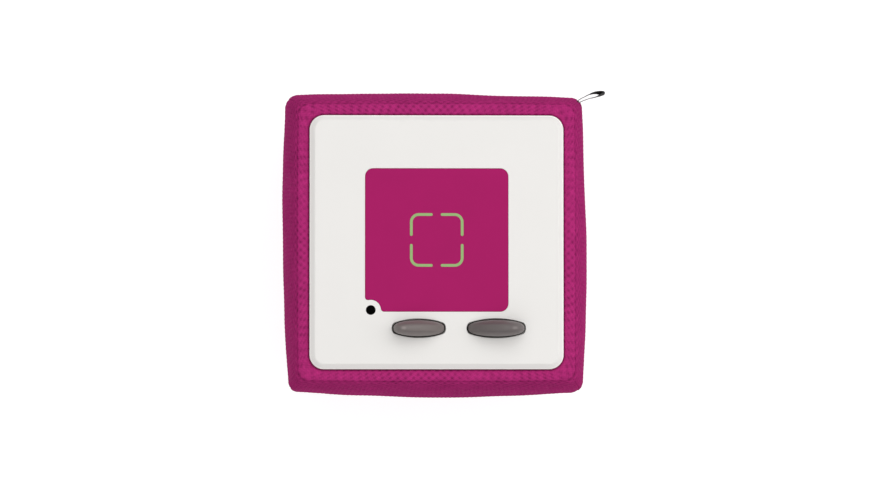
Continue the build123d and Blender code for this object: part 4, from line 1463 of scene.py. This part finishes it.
    def moved(
        self, table: list[list[float]], side: int, across: float, ring: Station, at: Vector
    ) -> float:
        """How far seams, knit, lumps and foam move a point of the smooth cover outwards.

        Args:
            table: The table that swollen gives, or an empty one.
            side: Number of the side, from the front on.
            across: Place across the panel, from its middle.
            ring: The ring that the point is on.
            at: The point, in metres.

        Returns:
            The distance outwards.
        """
        free = ring.corner - self.opening_half - self.roll_radius
        calm = clamp(free / self.calm_width)
        relief = Finishes.knit.value.relief(abs(across), ring.up)
        rise = (relief - 1) * self.knit_height * calm
        dip = self.furrow(ring.seam) * self.seam_depth
        lump = noise.noise(millimetres(at) / self.lump_size) * self.lump_height * calm
        swell = 0.0
        if abs(ring.up) <= self.total:
            dip += self.furrow(self.reach - abs(across)) * self.corner_seam_depth
            share = (ring.height - self.middle) / self.half
            swell = self.puff * self.puffed(table, side, across, ring.height)
            swell += self.slumped(side, across, share)
        return rise - dip + lump + swell

    def furrow(self, distance: float) -> float:
        """Share of a seam's depth at a distance from it."""
        return math.exp(-((distance / self.seam_width) ** 2))


# ---------------------------------------------------------------- top
def on_top(place: Vector) -> bool:
    """Whether a place in millimetres is at the level of the plate's upper face."""
    return place.z > PLATE_TOP - TOUCH


def reach_of(place: Vector) -> float:
    """How far a place is from the middle, measured square to the sides."""
    return max(abs(place.x), abs(place.y))


@dataclass
class TopPlate:
    """White top plate, its platform inlay and the placement mark printed on it."""

    edge_round: float = 0.3
    mouth_round: float = 0.08
    bevel_drop: float = 1.5
    inlay_round: float = 0.25
    mark_size: float = 20.65
    mark_line: float = 1.05
    mark_radius: float = 3.4
    mark_gap: float = 3.1
    mark_height: float = 0.06
    mark_steps: int = 10

    def build(self) -> None:
        """Makes the plate, the inlay and the mark."""
        self.build_plate()
        self.build_inlay()
        self.build_mark()

    def build_plate(self) -> None:
        """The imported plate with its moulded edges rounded."""

        def mouth(place: Vector) -> bool:
            """Whether a place is at the mouth of an opening."""
            return on_top(place) and reach_of(place) < PLATE_HALF - PLATE_EDGE

        def outer(place: Vector) -> bool:
            """Whether a place is at the upper or lower edge of the bevel."""
            top = on_top(place) and reach_of(place) > PLATE_HALF - PLATE_EDGE
            return top or abs(place.z - PLATE_TOP + self.bevel_drop) < TOUCH

        rounds = (outer, self.edge_round, 3), (mouth, self.mouth_round, 2)
        moulding("top_plate", "top_plate_shell", Finishes.plate_white, *rounds)

    def build_inlay(self) -> None:
        """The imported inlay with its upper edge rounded."""
        finish, edge = Finishes.platform_magenta, (on_top, self.inlay_round, 3)
        moulding("platform_inlay", "platform_inlay_panel", finish, edge)

    def build_mark(self) -> None:
        """Four rounded corners that show where the figure stands."""
        low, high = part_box("platform_inlay")
        centre = millimetres((low + high) / 2)
        bend = self.mark_size / 2 - self.mark_radius
        leg = bend - self.mark_gap / 2 - self.mark_line / 2
        inner, outer = self.mark_radius - self.mark_line, self.mark_radius
        mesh = bmesh.new()
        middle = (inner + outer) / 2
        self.tip(mesh, (outer, -leg), (middle, -leg), -math.pi)
        ends = [mesh.verts.new((x * MM, -leg * MM, 0)) for x in (inner, outer)]
        ends, edges = self.drawn(mesh, [mesh.edges.new(ends)], Vector((0, leg, 0)))
        ends, edges = self.swept(mesh, ends + edges, Vector((0, 0, 0)), math.pi / 2)
        self.drawn(mesh, edges, Vector((-leg, 0, 0)))
        self.tip(mesh, (-leg, outer), (-leg, middle), math.pi)
        bmesh.ops.remove_doubles(mesh, verts=mesh.verts, dist=WELD)
        bmesh.ops.translate(mesh, verts=mesh.verts, vec=(bend * MM, bend * MM, 0))
        whole = list(mesh.faces) + list(mesh.edges) + list(mesh.verts)
        for quarter in (1, 2, 3):
            verts, _ = parted(bmesh.ops.duplicate(mesh, geom=whole)["geom"])
            turn = Matrix.Rotation(quarter * math.pi / 2, 3, "Z")
            bmesh.ops.rotate(mesh, verts=verts, cent=(0, 0, 0), matrix=turn)
        bmesh.ops.recalc_face_normals(mesh, faces=mesh.faces)
        for face in mesh.faces:
            if face.normal.z < 0:
                face.normal_flip()
        raised = bmesh.ops.extrude_face_region(mesh, geom=list(mesh.faces))["geom"]
        lift = (0, 0, self.mark_height * MM)
        bmesh.ops.translate(mesh, verts=parted(raised)[0], vec=lift)
        place = (centre.x * MM, centre.y * MM, PLATE_TOP * MM)
        bmesh.ops.translate(mesh, verts=mesh.verts, vec=place)
        settle(mesh, "placement_mark", Finishes.mark_green)

    def tip(self, mesh: bmesh.types.BMesh, rim: Pair, centre: Pair, angle: float) -> None:
        """Adds the half disc that ends a line of the mark.

        Args:
            mesh: The mesh.
            rim: Place in plan of the disc's rim where it starts.
            centre: Place in plan of the disc's centre.
            angle: Angle that the disc turns through.
        """
        ends = [mesh.verts.new((x * MM, y * MM, 0)) for x, y in (rim, centre)]
        about = Vector([place * MM for place in (*centre, 0)])
        self.swept(mesh, [*ends, mesh.edges.new(ends)], about, angle)

    def swept(
        self, mesh: bmesh.types.BMesh, geometry: list[object], centre: Vector, angle: float
    ) -> tuple[list[bmesh.types.BMVert], list[bmesh.types.BMEdge]]:
        """Turns an edge about a place.

        Args:
            mesh: The mesh.
            geometry: The edge and its two vertices.
            centre: The place, in metres.
            angle: Angle that the edge turns through.

        Returns:
            The vertices and the edge that it ends at.
        """
        about = {"axis": (0, 0, 1), "cent": centre, "angle": angle}
        steps = self.mark_steps
        return parted(bmesh.ops.spin(mesh, geom=geometry, steps=steps, **about)["geom_last"])

    def drawn(
        self, mesh: bmesh.types.BMesh, edges: list[bmesh.types.BMEdge], move: Vector
    ) -> tuple[list[bmesh.types.BMVert], list[bmesh.types.BMEdge]]:
        """Draws an edge out.

        Args:
            mesh: The mesh.
            edges: The edge.
            move: How far it is drawn, in millimetres.

        Returns:
            The vertices and the edge that it ends at.
        """
        verts, found = parted(bmesh.ops.extrude_edge_only(mesh, edges=edges)["geom"])
        bmesh.ops.translate(mesh, verts=verts, vec=move * MM)
        return verts, [edge for edge in found if all(end in verts for end in edge.verts)]


@dataclass
class Ear:
    """Silicone ear of one volume key."""

    key: str
    outward: int
    finish: Finishes
    blunt: float = 0.7
    peak_share: float = 0.3
    outer_curve: Pair = (2.6, 0.43)
    inner_curve: Pair = (1.5, 0.59)
    slim_curve: Pair = (2.4, 0.45)
    tip_share: float = 0.2
    side_steps: int = 24
    rise_steps: int = 26
    tongue_margin: float = 3.95
    tongue_half: float = 0.85
    tongue_height: float = 4.05
    ledge: float = 0.3
    last_share: float = 0.9985

    def outline(self, length: float, width: float) -> list[Pair]:
        """Barrel seen from above, with blunt rounded ends.

        Args:
            length: Length of the barrel.
            width: Its width at the middle.

        Returns:
            Points round it, from its middle.
        """
        points = []
        for index in range(self.side_steps):
            angle = (index + 0.5) / self.side_steps * math.pi
            bow = math.sin(angle) ** self.blunt
            points.append((length / 2 * math.cos(angle), width / 2 * bow))
        return points + [(-x, -y) for x, y in points]

    def build(self) -> None:
        """Makes the ear, with the pocket that its plunger's tongue fills."""
        node = f"{self.key}_ear"
        low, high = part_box(node)
        centre, foot, top = millimetres((low + high) / 2), low.z / MM, high.z / MM
        length, width = (high.x - low.x) / MM, (high.y - low.y) / MM
        rings: list[list[Vector]] = []

        def add(x: float, along: float, across: float, height: float, limit: float) -> None:
            """Adds a ring round the ear, or round its pocket, cut off at a half width."""
            outline = ((px, clamp(py, -limit, limit)) for px, py in self.outline(along, across))
            rings.append([Vector((x + px, centre.y + py, height)) for px, py in outline])

        def shut(x: float, y: float, height: float) -> None:
            """Adds a ring that is a single point."""
            rings.append([Vector((x, y, height))] * (2 * self.side_steps))

        pocket, half = length - 2 * self.tongue_margin, self.tongue_half
        shut(centre.x, centre.y, foot + self.tongue_height)
        for level in (foot + self.tongue_height, foot):
            add(centre.x, pocket, 4 * half, level, half)
        for level in (foot, (foot + PLATE_TOP) / 2, PLATE_TOP - 2.5 * self.ledge):
            add(centre.x, length, width, level, width)
        length, width = length - 2 * self.ledge, width - 2 * self.ledge
        add(centre.x, length, width, PLATE_TOP - 2 * self.ledge, width)
        for index in range(self.rise_steps + 1):
            share = min(math.sin(index / self.rise_steps * math.pi / 2), self.last_share)
            outer, inner, slim = self.profile(length, share)
            middle = centre.x + (outer + inner) / 2
            level = lerp(PLATE_TOP, top, share)
            add(middle, abs(outer - inner), width * slim, level, width)
        tip = sum(rings[-1], Vector()) / len(rings[-1])
        shut(tip.x, tip.y, top)
        count = len(rings[-1])
        mesh = outward(woven(count, len(rings) - 1, lambda i, j: rings[j][i % count]))
        layer = mesh.verts.layers.float_vector.new("weave")
        for vertex in mesh.verts:
            place = millimetres(vertex.co) - centre
            along = place.x * self.outward / length * 2
            vertex[layer] = (along, place.y / width * 2, vertex.co.z / MM - PLATE_TOP)
        piece = settle(mesh, f"{self.key}_ear_cap", self.finish, [node], 50, body_of(node))

    def profile(self, length: float, share: float) -> tuple[float, float, float]:
        """Outer end, inner end and thickness at a share of the height.

        Args:
            length: Length of the ear at its foot.
            share: Share of the height.

        Returns:
            The two ends from the ear's middle, and the share of the full thickness.
        """
        half = self.outward * length / 2
        peak = self.outward * length * self.peak_share
        outer, inner, slim = (
            (1 - share**power) ** root
            for power, root in (self.outer_curve, self.inner_curve, self.slim_curve)
        )
        ends = peak + (half - peak) * outer, peak - (half + peak) * inner
        return *ends, max(slim, self.tip_share)


@dataclass
class HangLoop:
    """Black ribbon folded over on itself, sewn into the back right corner."""

    width: float = 10.0
    tail: float = 4.5
    angle: float = 17.6
    ends: tuple[tuple[float, float, float, float], ...] = (
        (-4.5, 0.2, -0.2, 0.0),
        (0.0, 0.42, -0.45, 0.0),
        (2.6, 0.88, -0.33, 0.0),
        (4.7, 1.16, -0.3, 0.0),
        (6.4, 1.24, -0.5, 0.04),
        (7.4, 1.1, -0.52, 0.07),
        (8.8, 0.7, -0.42, 0.12),
        (9.8, 0.5, -0.2, 0.12),
        (10.7, 0.3, -0.16, 0.1),
    )
    thin: float = 0.3
    thick: float = 0.42
    thick_from: float = 4.5
    thick_to: float = 8.5
    slant_from: float = 7.4
    lean: float = 0.06
    edge_share: float = 0.35
    edge_power: float = 12.0
    root_drop: float = 4.6
    root_reach: float = 7.0
    tip_round: float = 0.5
    lower_delay: float = 3.0
    steps: int = 40
    rows: int = 16
    tip_steps: int = 8

    def strand(self, along: float) -> tuple[float, float, float]:
        """How the loop lies at a place along it.

        Args:
            along: The place.

        Returns:
            The upper strand, the lower strand and the slant of the face.
        """
        marks = [end[0] for end in self.ends]
        at = span_at(marks, along)
        before, after = self.ends[at : at + 2]
        share = eased(clamp((along - before[0]) / (after[0] - before[0])))
        upper, lower, slant = (lerp(a, b, share) for a, b in zip(before[1:], after[1:]))
        return upper, lower, slant

    def line(self) -> list[Vector]:
        """Middle line of the ribbon in plan, from the tail round the tip and back.

        Returns:
            Points with their place along, their place across, and the slant of the face there.
        """
        last = self.ends[-1][0]
        upper, lower = [], []
        for index in range(self.steps + 1):
            along = lerp(-self.tail, last, index / self.steps)
            high, low, slant = self.strand(along)
            late = max(0.0, (along - self.slant_from) / (last - self.slant_from))
            upper.append(Vector((along, high, slant)))
            lower.append(Vector((along, low, slant * late)))
        centre = (upper[-1] + lower[-1]) / 2
        radius = (upper[-1] - lower[-1]).length / 2
        tip = []
        for step in range(1, self.tip_steps):
            turn = math.pi / 2 * (1 - 2 * step / self.tip_steps)
            tip.append(centre + Vector((math.cos(turn), math.sin(turn), 0)) * radius)
        return upper + tip + lower[::-1]

    def section(self) -> list[Pair]:
        """Outline of the ribbon, cut across.

        Returns:
            Place across and share of the thickness of each point.
        """
        half = self.width / 2
        face = []
        for index in range(self.rows + 1):
            across = lerp(-half, half, index / self.rows)
            fade = max(0.0, 1 - (abs(across) / half) ** self.edge_power)
            face.append((across, lerp(self.edge_share, 1.0, fade)))
        return face + [(across, -depth) for across, depth in face[::-1]]

    def root(self, level: float) -> float:
        """Where the cover's corner is.

        Args:
            level: Height above the floor.

        Returns:
            Its place along X, which is also that along Y.
        """
        cover = KnitCover()
        corner = cover.shoulder((level - cover.middle) / cover.half)[0]
        return corner - cover.corner_radius * (1 - 0.5**0.5)

    def build(self) -> None:
        """Makes the ribbon, with thin turned edges and a slight twist towards its tip."""
        low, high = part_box("hang_loop")
        level = (low.z + high.z) / 2 / MM
        corner, around = self.root(level), self.section()
        axis = Matrix.Rotation(math.radians(self.angle), 2)
        line, half = self.line(), self.width / 2
        lengths = [0.0]
        for first, second in zip(line, line[1:]):
            lengths.append(lengths[-1] + (second - first).xy.length)

        def place(column: int, row: int) -> Vector:
            """The place of a point of the ribbon's surface.

            Args:
                column: Column of the grid.
                row: Row of the grid.

            Returns:
                The place, in millimetres.
            """
            across, depth = around[column % len(around)]
            at = line[row]
            along = (line[min(len(line) - 1, row + 1)] - line[max(0, row - 1)]).xy.normalized()
            share = clamp((at.x - self.thick_from) / (self.thick_to - self.thick_from))
            wall = lerp(self.thin, self.thick, share) / 2
            point = axis @ (at.xy + Vector((-along.y, along.x)) * depth * wall)
            point += (axis @ Vector((0, at.z)) - Vector((self.lean, self.lean))) * across
            tip = clamp((at.x - self.thick_to) / 2)
            point -= axis @ Vector((self.tip_round * tip * (across / half) ** 2, 0))
            away = clamp(at.x / self.root_reach)
            height = level + across - self.root_drop * (1 - away) ** 2
            return Vector((corner + point.x, corner + point.y, height))

        mesh = capped(woven(len(around), len(line) - 1, place))
        weave_layer = mesh.verts.layers.float_vector.new("weave")
        for vertex, column, row in knots(mesh):
            behind = self.lower_delay * (row > len(line) // 2)
            across = around[column % len(around)][0]
            vertex[weave_layer] = (lengths[row], across, line[row].x - behind)
        loop = settle(mesh, "ribbon_loop", Finishes.ribbon, ["hang_loop"], 50)
        LOG.info("loop: %.1f mm of ribbon", lengths[-1])


# ---------------------------------------------------------------- underside and fasteners
@dataclass
class Underside:
    """Base plate with its charging recess, the rubber ring and the gold contacts."""

    edge_round: float = 0.3
    edge_level: float = 1.6
    edge_reach: float = 20.0
    ring_width: float = 6.0
    ring_round: float = 0.45
    ring_sides: int = 160
    ring_ribs: int = 3
    rib_depth: float = 0.18
    contact_dome: float = 0.35
    contact_sides: int = 40
    dome_steps: int = 4

    def build(self) -> None:
        """Makes the plate, the ring and the contacts."""
        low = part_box("base_plate")[0].z / MM

        def lower(place: Vector) -> bool:
            """Whether a place is at the plate's lower outline."""
            return place.z < low + self.edge_level and reach_of(place) > self.edge_reach

        edge = (lower, self.edge_round, 2)
        moulding("base_plate", "base_plate_shell", Finishes.base_white, edge)
        self.build_ring()
        self.build_contacts()

    def build_ring(self) -> None:
        """Rubber ring with rounded lips and fine ribs on the face that grips."""
        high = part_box("non_slip_ring")[1]
        outer, top, edge = high.x / MM, high.z / MM, self.ring_round
        inner = outer - self.ring_width
        face, count = [], 4 * self.ring_ribs
        for index in range(count + 1):
            share = index / count
            depth = self.rib_depth * (1 - abs(math.cos(share * math.pi * self.ring_ribs)))
            face.append((inner + edge + (self.ring_width - 2 * edge) * share, depth))
        cut = edge * (1 - 0.5**0.5)
        profile = [(inner, top), (inner, edge), (inner + cut, cut), *face]
        profile += [(outer - cut, cut), (outer, edge), (outer, top), (inner, top)]
        mesh = turned(profile, self.ring_sides)
        settle(mesh, "foot_ring", Finishes.ring_rubber, ["non_slip_ring"], 50)

    def build_contacts(self) -> None:
        """Gold contacts with a slightly domed, rounded face."""
        source = merged("dock_contacts")
        mesh = bmesh.new()
        for low, high in islands(source):
            radius = (high.x - low.x) / 2
            dome = self.contact_dome
            profile = [(0, high.z), (radius, high.z), (radius, low.z + dome)]
            for step in range(1, self.dome_steps + 1):
                angle = step / self.dome_steps * math.pi / 2
                inset = dome * (1 - math.cos(angle))
                profile.append((radius - inset, low.z + dome * (1 - math.sin(angle))))
            profile.append((0, low.z))
            move = Vector(((low.x + high.x) / 2, (low.y + high.y) / 2, 0))
            add_copy(mesh, turned(profile, self.contact_sides), move)
        source.free()
        settle(mesh, "gold_contacts", Finishes.gold, ["dock_contacts"], 40)


def islands(mesh: bmesh.types.BMesh) -> list[tuple[Vector, Vector]]:
    """Finds the separate solids of a mesh.

    Args:
        mesh: The mesh.

    Returns:
        The lowest and the highest corner of each, in millimetres.
    """
    found, seen = [], set()
    for start in mesh.verts:
        if start in seen:
            continue
        seen.add(start)
        heap, part = [start], []
        while heap:
            vertex = heap.pop()
            part.append(vertex.co)
            for edge in vertex.link_edges:
                other = edge.other_vert(vertex)
                if other not in seen:
                    seen.add(other)
                    heap.append(other)
        corners = (Vector([pick(line) for line in zip(*part)]) for pick in (min, max))
        found.append(tuple(millimetres(corner) for corner in corners))
    return found


def add_copy(
    target: bmesh.types.BMesh,
    part: bmesh.types.BMesh,
    move: Vector,
    turn: Matrix | None = None,
) -> None:
    """Adds a part to a mesh, and frees the part.

    Args:
        target: The mesh that grows.
        part: The part, which is used up.
        move: How far the part is moved, in millimetres.
        turn: How it is turned before that.
    """
    if turn is not None:
        bmesh.ops.transform(part, matrix=turn.to_4x4(), verts=part.verts)
    bmesh.ops.translate(part, verts=part.verts, vec=move * MM)
    data = meshed(part, "part")
    target.from_mesh(data)
    bpy.data.meshes.remove(data)


@dataclass
class Screws:
    """The screws of one node: pan heads with a cross recess, and threaded shanks.

    Its sizes are the radius of the shank, and the radius and the height of the head.
    """

    node: str
    sizes: tuple[float, float, float]
    pan: tuple[Pair, ...] = ((1.0, 0.35), (0.93, 0.72), (0.74, 1.0))
    head_sides: int = 32
    pitch: float = 1.1
    thread_share: float = 0.2
    thread_slope: float = 3.0
    thread_sides: int = 16
    thread_rows: int = 4
    point_share: float = 0.25
    cross_share: float = 0.62
    cross_width: float = 0.24
    cross_depth: float = 0.55
    wide_share: float = 0.9

    def build(self) -> None:
        """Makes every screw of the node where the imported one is."""
        source = merged(self.node)
        mesh = bmesh.new()
        head = self.sizes[2]
        for low, high in islands(source):
            axis = self.axis(high - low)
            points = self.points(source, low, high, axis)
            up = Vector()
            up[axis] = points
            turn = Vector((0, 0, 1)).rotation_difference(up).to_matrix()
            centre = (low + high) / 2
            centre[axis] = (low[axis] if points > 0 else high[axis]) + points * head
            add_copy(mesh, self.one(high[axis] - low[axis] - head), centre, turn)
        source.free()
        name = f"{self.node}_threaded"
        settle(mesh, name, Finishes.steel, [self.node], 35, body_of(self.node))

    def axis(self, size: Vector) -> int:
        """The axis along which the screw lies: the one whose size differs most."""
        middle = sorted(size)[1]
        return max(range(3), key=lambda axis: abs(size[axis] - middle))

    def points(self, source: bmesh.types.BMesh, low: Vector, high: Vector, axis: int) -> int:
        """Which way the shank points.

        Args:
            source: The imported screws.
            low: Lowest corner of the screw, in millimetres.
            high: Highest corner of the screw.
            axis: The axis along which the screw lies.

        Returns:
            1 for a shank that points along the axis, and -1 for one that points against it.
        """
        centre, wide = (low + high) / 2, []
        for vertex in source.verts:
            place = [part / MM for part in vertex.co]
            offset = millimetres(vertex.co) - centre
            offset[axis] = 0
            inside = all(low[a] - TOUCH <= place[a] <= high[a] + TOUCH for a in range(3))
            if inside and offset.length > self.sizes[1] * self.wide_share:
                wide.append(place[axis])
        return 1 if sum(wide) / len(wide) < centre[axis] else -1

    def one(self, length: float) -> bmesh.types.BMesh:
        """One screw that points up, with its head's seat at zero.

        Args:
            length: Length of the shank.

        Returns:
            The screw, in metres.
        """
        shank, radius, head = self.sizes
        profile = [(0, 0.0), (radius, 0.0)]
        profile += [(radius * wide, -head * deep) for wide, deep in self.pan] + [(0, -head)]
        top = turned(profile, self.head_sides)
        cross, depth = radius * self.cross_share, head * self.cross_depth
        size = Vector((2 * cross, 2 * radius * self.cross_width, 2 * depth)) * MM
        for angle in (0, math.pi / 2):
            blade = bmesh.new()
            bmesh.ops.create_cube(blade, size=1)
            bmesh.ops.scale(blade, verts=blade.verts, vec=size)
            bmesh.ops.rotate(blade, verts=blade.verts, matrix=Matrix.Rotation(angle, 3, "Z"))
            bmesh.ops.translate(blade, verts=blade.verts, vec=(0, 0, -head * MM))
            top = carved(top, blade)
        rows = round(length / self.pitch * self.thread_rows)
        root = shank * (1 - self.thread_share)

        def place(column: int, row: int) -> Vector:
            """The place of a point of the shank's thread.

            Args:
                column: Column of the grid.
                row: Row of the grid.

            Returns:
                The place, in millimetres.
            """
            level = min(length, row / rows * length)
            angle = column % self.thread_sides / self.thread_sides * TURN
            phase = (level / self.pitch - angle / TURN) % 1
            crest = max(0.0, 1 - abs(phase - 0.5) * self.thread_slope)
            taper = lerp(self.point_share, 1.0, min(1.0, (length - level) / shank))
            reach = 0.0 if row == rows else (root + (shank - root) * crest) * taper
            return Vector((reach * math.cos(angle), reach * math.sin(angle), level))

        add_copy(top, capped(woven(self.thread_sides, rows, place)), Vector())
        return top


def carved(solid: bmesh.types.BMesh, tool: bmesh.types.BMesh) -> bmesh.types.BMesh:
    """Cuts a tool out of a solid.

    Args:
        solid: The solid, which is used up.
        tool: The tool, which is used up.

    Returns:
        What is left of the solid.
    """
    block = placed("solid", meshed(solid, "solid"))
    cutter = placed("tool", meshed(tool, "tool"))
    modifier = block.modifiers.new("cut", "BOOLEAN")
    modifier.operation = "DIFFERENCE"
    modifier.solver = "EXACT"
    modifier.object = cutter
    graph = bpy.context.evaluated_depsgraph_get()
    shape = bpy.data.meshes.new_from_object(block.evaluated_get(graph))
    result = bmesh.new()
    result.from_mesh(shape)
    dropped(block, cutter)
    bpy.data.meshes.remove(shape)
    return result


LARGE, MEDIUM, SMALL = (1.5, 2.9, 1.7), (1.25, 2.4, 1.5), (0.95, 1.8, 1.3)
SCREWS = [
    Screws("base_screws", LARGE),
    Screws("top_plate_screws", MEDIUM),
    Screws("control_board_screws", SMALL),
    Screws("speaker_screws", MEDIUM),
    Screws("tray_screws", MEDIUM),
    Screws("board_screws", MEDIUM),
]


# ---------------------------------------------------------------- inside
@dataclass
class Inside:
    """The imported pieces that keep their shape: each gets its slot's finish."""

    def build(self) -> None:
        """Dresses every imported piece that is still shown."""
        slots = {part["node"]: part["material_slot"] for part in frame["record"]["subparts"]}
        for name, node in frame["nodes"].items():
            finish = Finishes[slots[name]].value
            node.data.materials.clear()
            node.data.materials.append(finish.material())


@dataclass
class KeySpring:
    """Coil spring under one key."""

    key: str
    travel: float = 1.0

    def build(self) -> None:
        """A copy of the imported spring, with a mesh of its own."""
        node = f"{self.key}_spring"
        coil = settle(merged(node), f"{self.key}_coil", Finishes.spring_steel, [node], 60)
        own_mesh(coil)


@dataclass
class ConeEdge:
    """Rubber roll round the loudspeaker's cone."""

    glued: float = -41.0

    def build(self) -> None:
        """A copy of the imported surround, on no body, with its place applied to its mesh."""
        node = "speaker_surround"
        name, finish = "cone_edge_roll", Finishes.surround_rubber
        roll = settle(merged(node), name, finish, [node], 40, body=None)
        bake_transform(roll)


# ---------------------------------------------------------------- studio
@dataclass(frozen=True)
class Lamp:
    """A soft square lamp that points at the player."""

    name: str
    place: tuple[float, float, float]
    size: float
    power: float
    colour: Colour = (1.0, 1.0, 1.0)


@dataclass
class Studio:
    """Pale floor, soft light and the camera, in metres."""

    eye: tuple[float, float, float] = (-0.042, -0.0515, 1.620)
    aim: tuple[float, float, float] = (-0.00067, -0.00096, 0.120)
    lens: float = 161.3
    sensor: float = 36.0
    nearest: float = 0.05
    floor_size: float = 6.0
    sky: float = 0.28
    lamps: tuple[Lamp, ...] = (
        Lamp("overhead", (0.1, 0.2, 2.4), 3.0, 36.0),
        Lamp("key", (0.40, 0.65, 1.40), 1.2, 5.6),
        Lamp("side", (1.3, 0.1, 0.7), 1.0, 3.4),
        Lamp("fill", (-0.3, -0.8, 1.6), 1.2, 2.4),
    )

    def build(self) -> None:
        """Makes the floor, the sky, the lamps and the camera."""
        self.build_floor()
        world = bpy.data.worlds.new("sky")
        world.use_nodes = True
        background = world.node_tree.nodes["Background"]
        background.inputs["Color"].default_value = (1, 1, 1, 1)
        background.inputs["Strength"].default_value = self.sky
        bpy.context.scene.world = world
        for lamp in self.lamps:
            self.build_lamp(lamp)
        self.build_camera()
        view = bpy.context.scene.view_settings
        view.view_transform = "Standard"
        view.look = "None"

    def build_floor(self) -> None:
        """A wide pale floor that isn't part of the player."""
        mesh = bmesh.new()
        bmesh.ops.create_grid(mesh, x_segments=2, y_segments=2, size=self.floor_size / 2)
        floor = placed("floor", meshed(mesh, "floor"))
        grey = (0.34, 0.34, 0.34)
        paint = Glowing("floor_paint", grey, 0.9, 0.1, 2.0, 0.01, cloud_size=200.0, cloud=0.01)
        floor.data.materials.append(paint.material())

    def build_lamp(self, lamp: Lamp) -> None:
        """One lamp, turned to the player.

        Args:
            lamp: The lamp's values.
        """
        light = bpy.data.lights.new(lamp.name, "AREA")
        light.shape = "SQUARE"
        light.size = lamp.size
        light.energy = lamp.power
        light.color = lamp.colour
        made = placed(lamp.name, light)
        made.location = lamp.place
        away = Vector(self.aim) - Vector(lamp.place)
        made.rotation_euler = away.to_track_quat("-Z", "Y").to_euler()

    def build_camera(self) -> None:
        """The camera, almost straight above, with the player's back up."""
        data = bpy.data.cameras.new("camera")
        data.sensor_width = self.sensor
        data.lens = self.lens
        data.clip_start = self.nearest
        camera = placed("camera", data)
        forward = (Vector(self.aim) - Vector(self.eye)).normalized()
        right = forward.cross(Vector((0, 1, 0))).normalized()
        up = right.cross(forward)
        pose = Matrix((right, up, -forward)).transposed().to_4x4()
        pose.translation = Vector(self.eye)
        camera.matrix_world = pose
        bpy.context.scene.camera = camera


def main() -> None:
    """Builds the player and its studio."""
    logging.basicConfig(level=logging.INFO, format="%(message)s")
    Studio().build()
    Inside().build()
    KnitCover().build()
    TopPlate().build()
    Ear("volume_down", -1, Finishes.ear_rubber).build()
    Ear("volume_up", 1, Finishes.ear_rubber_thick).build()
    KeySpring("volume_down").build()
    KeySpring("volume_up").build()
    ConeEdge().build()
    HangLoop().build()
    Underside().build()
    for screws in SCREWS:
        screws.build()


if __name__ == "__main__":
    main()
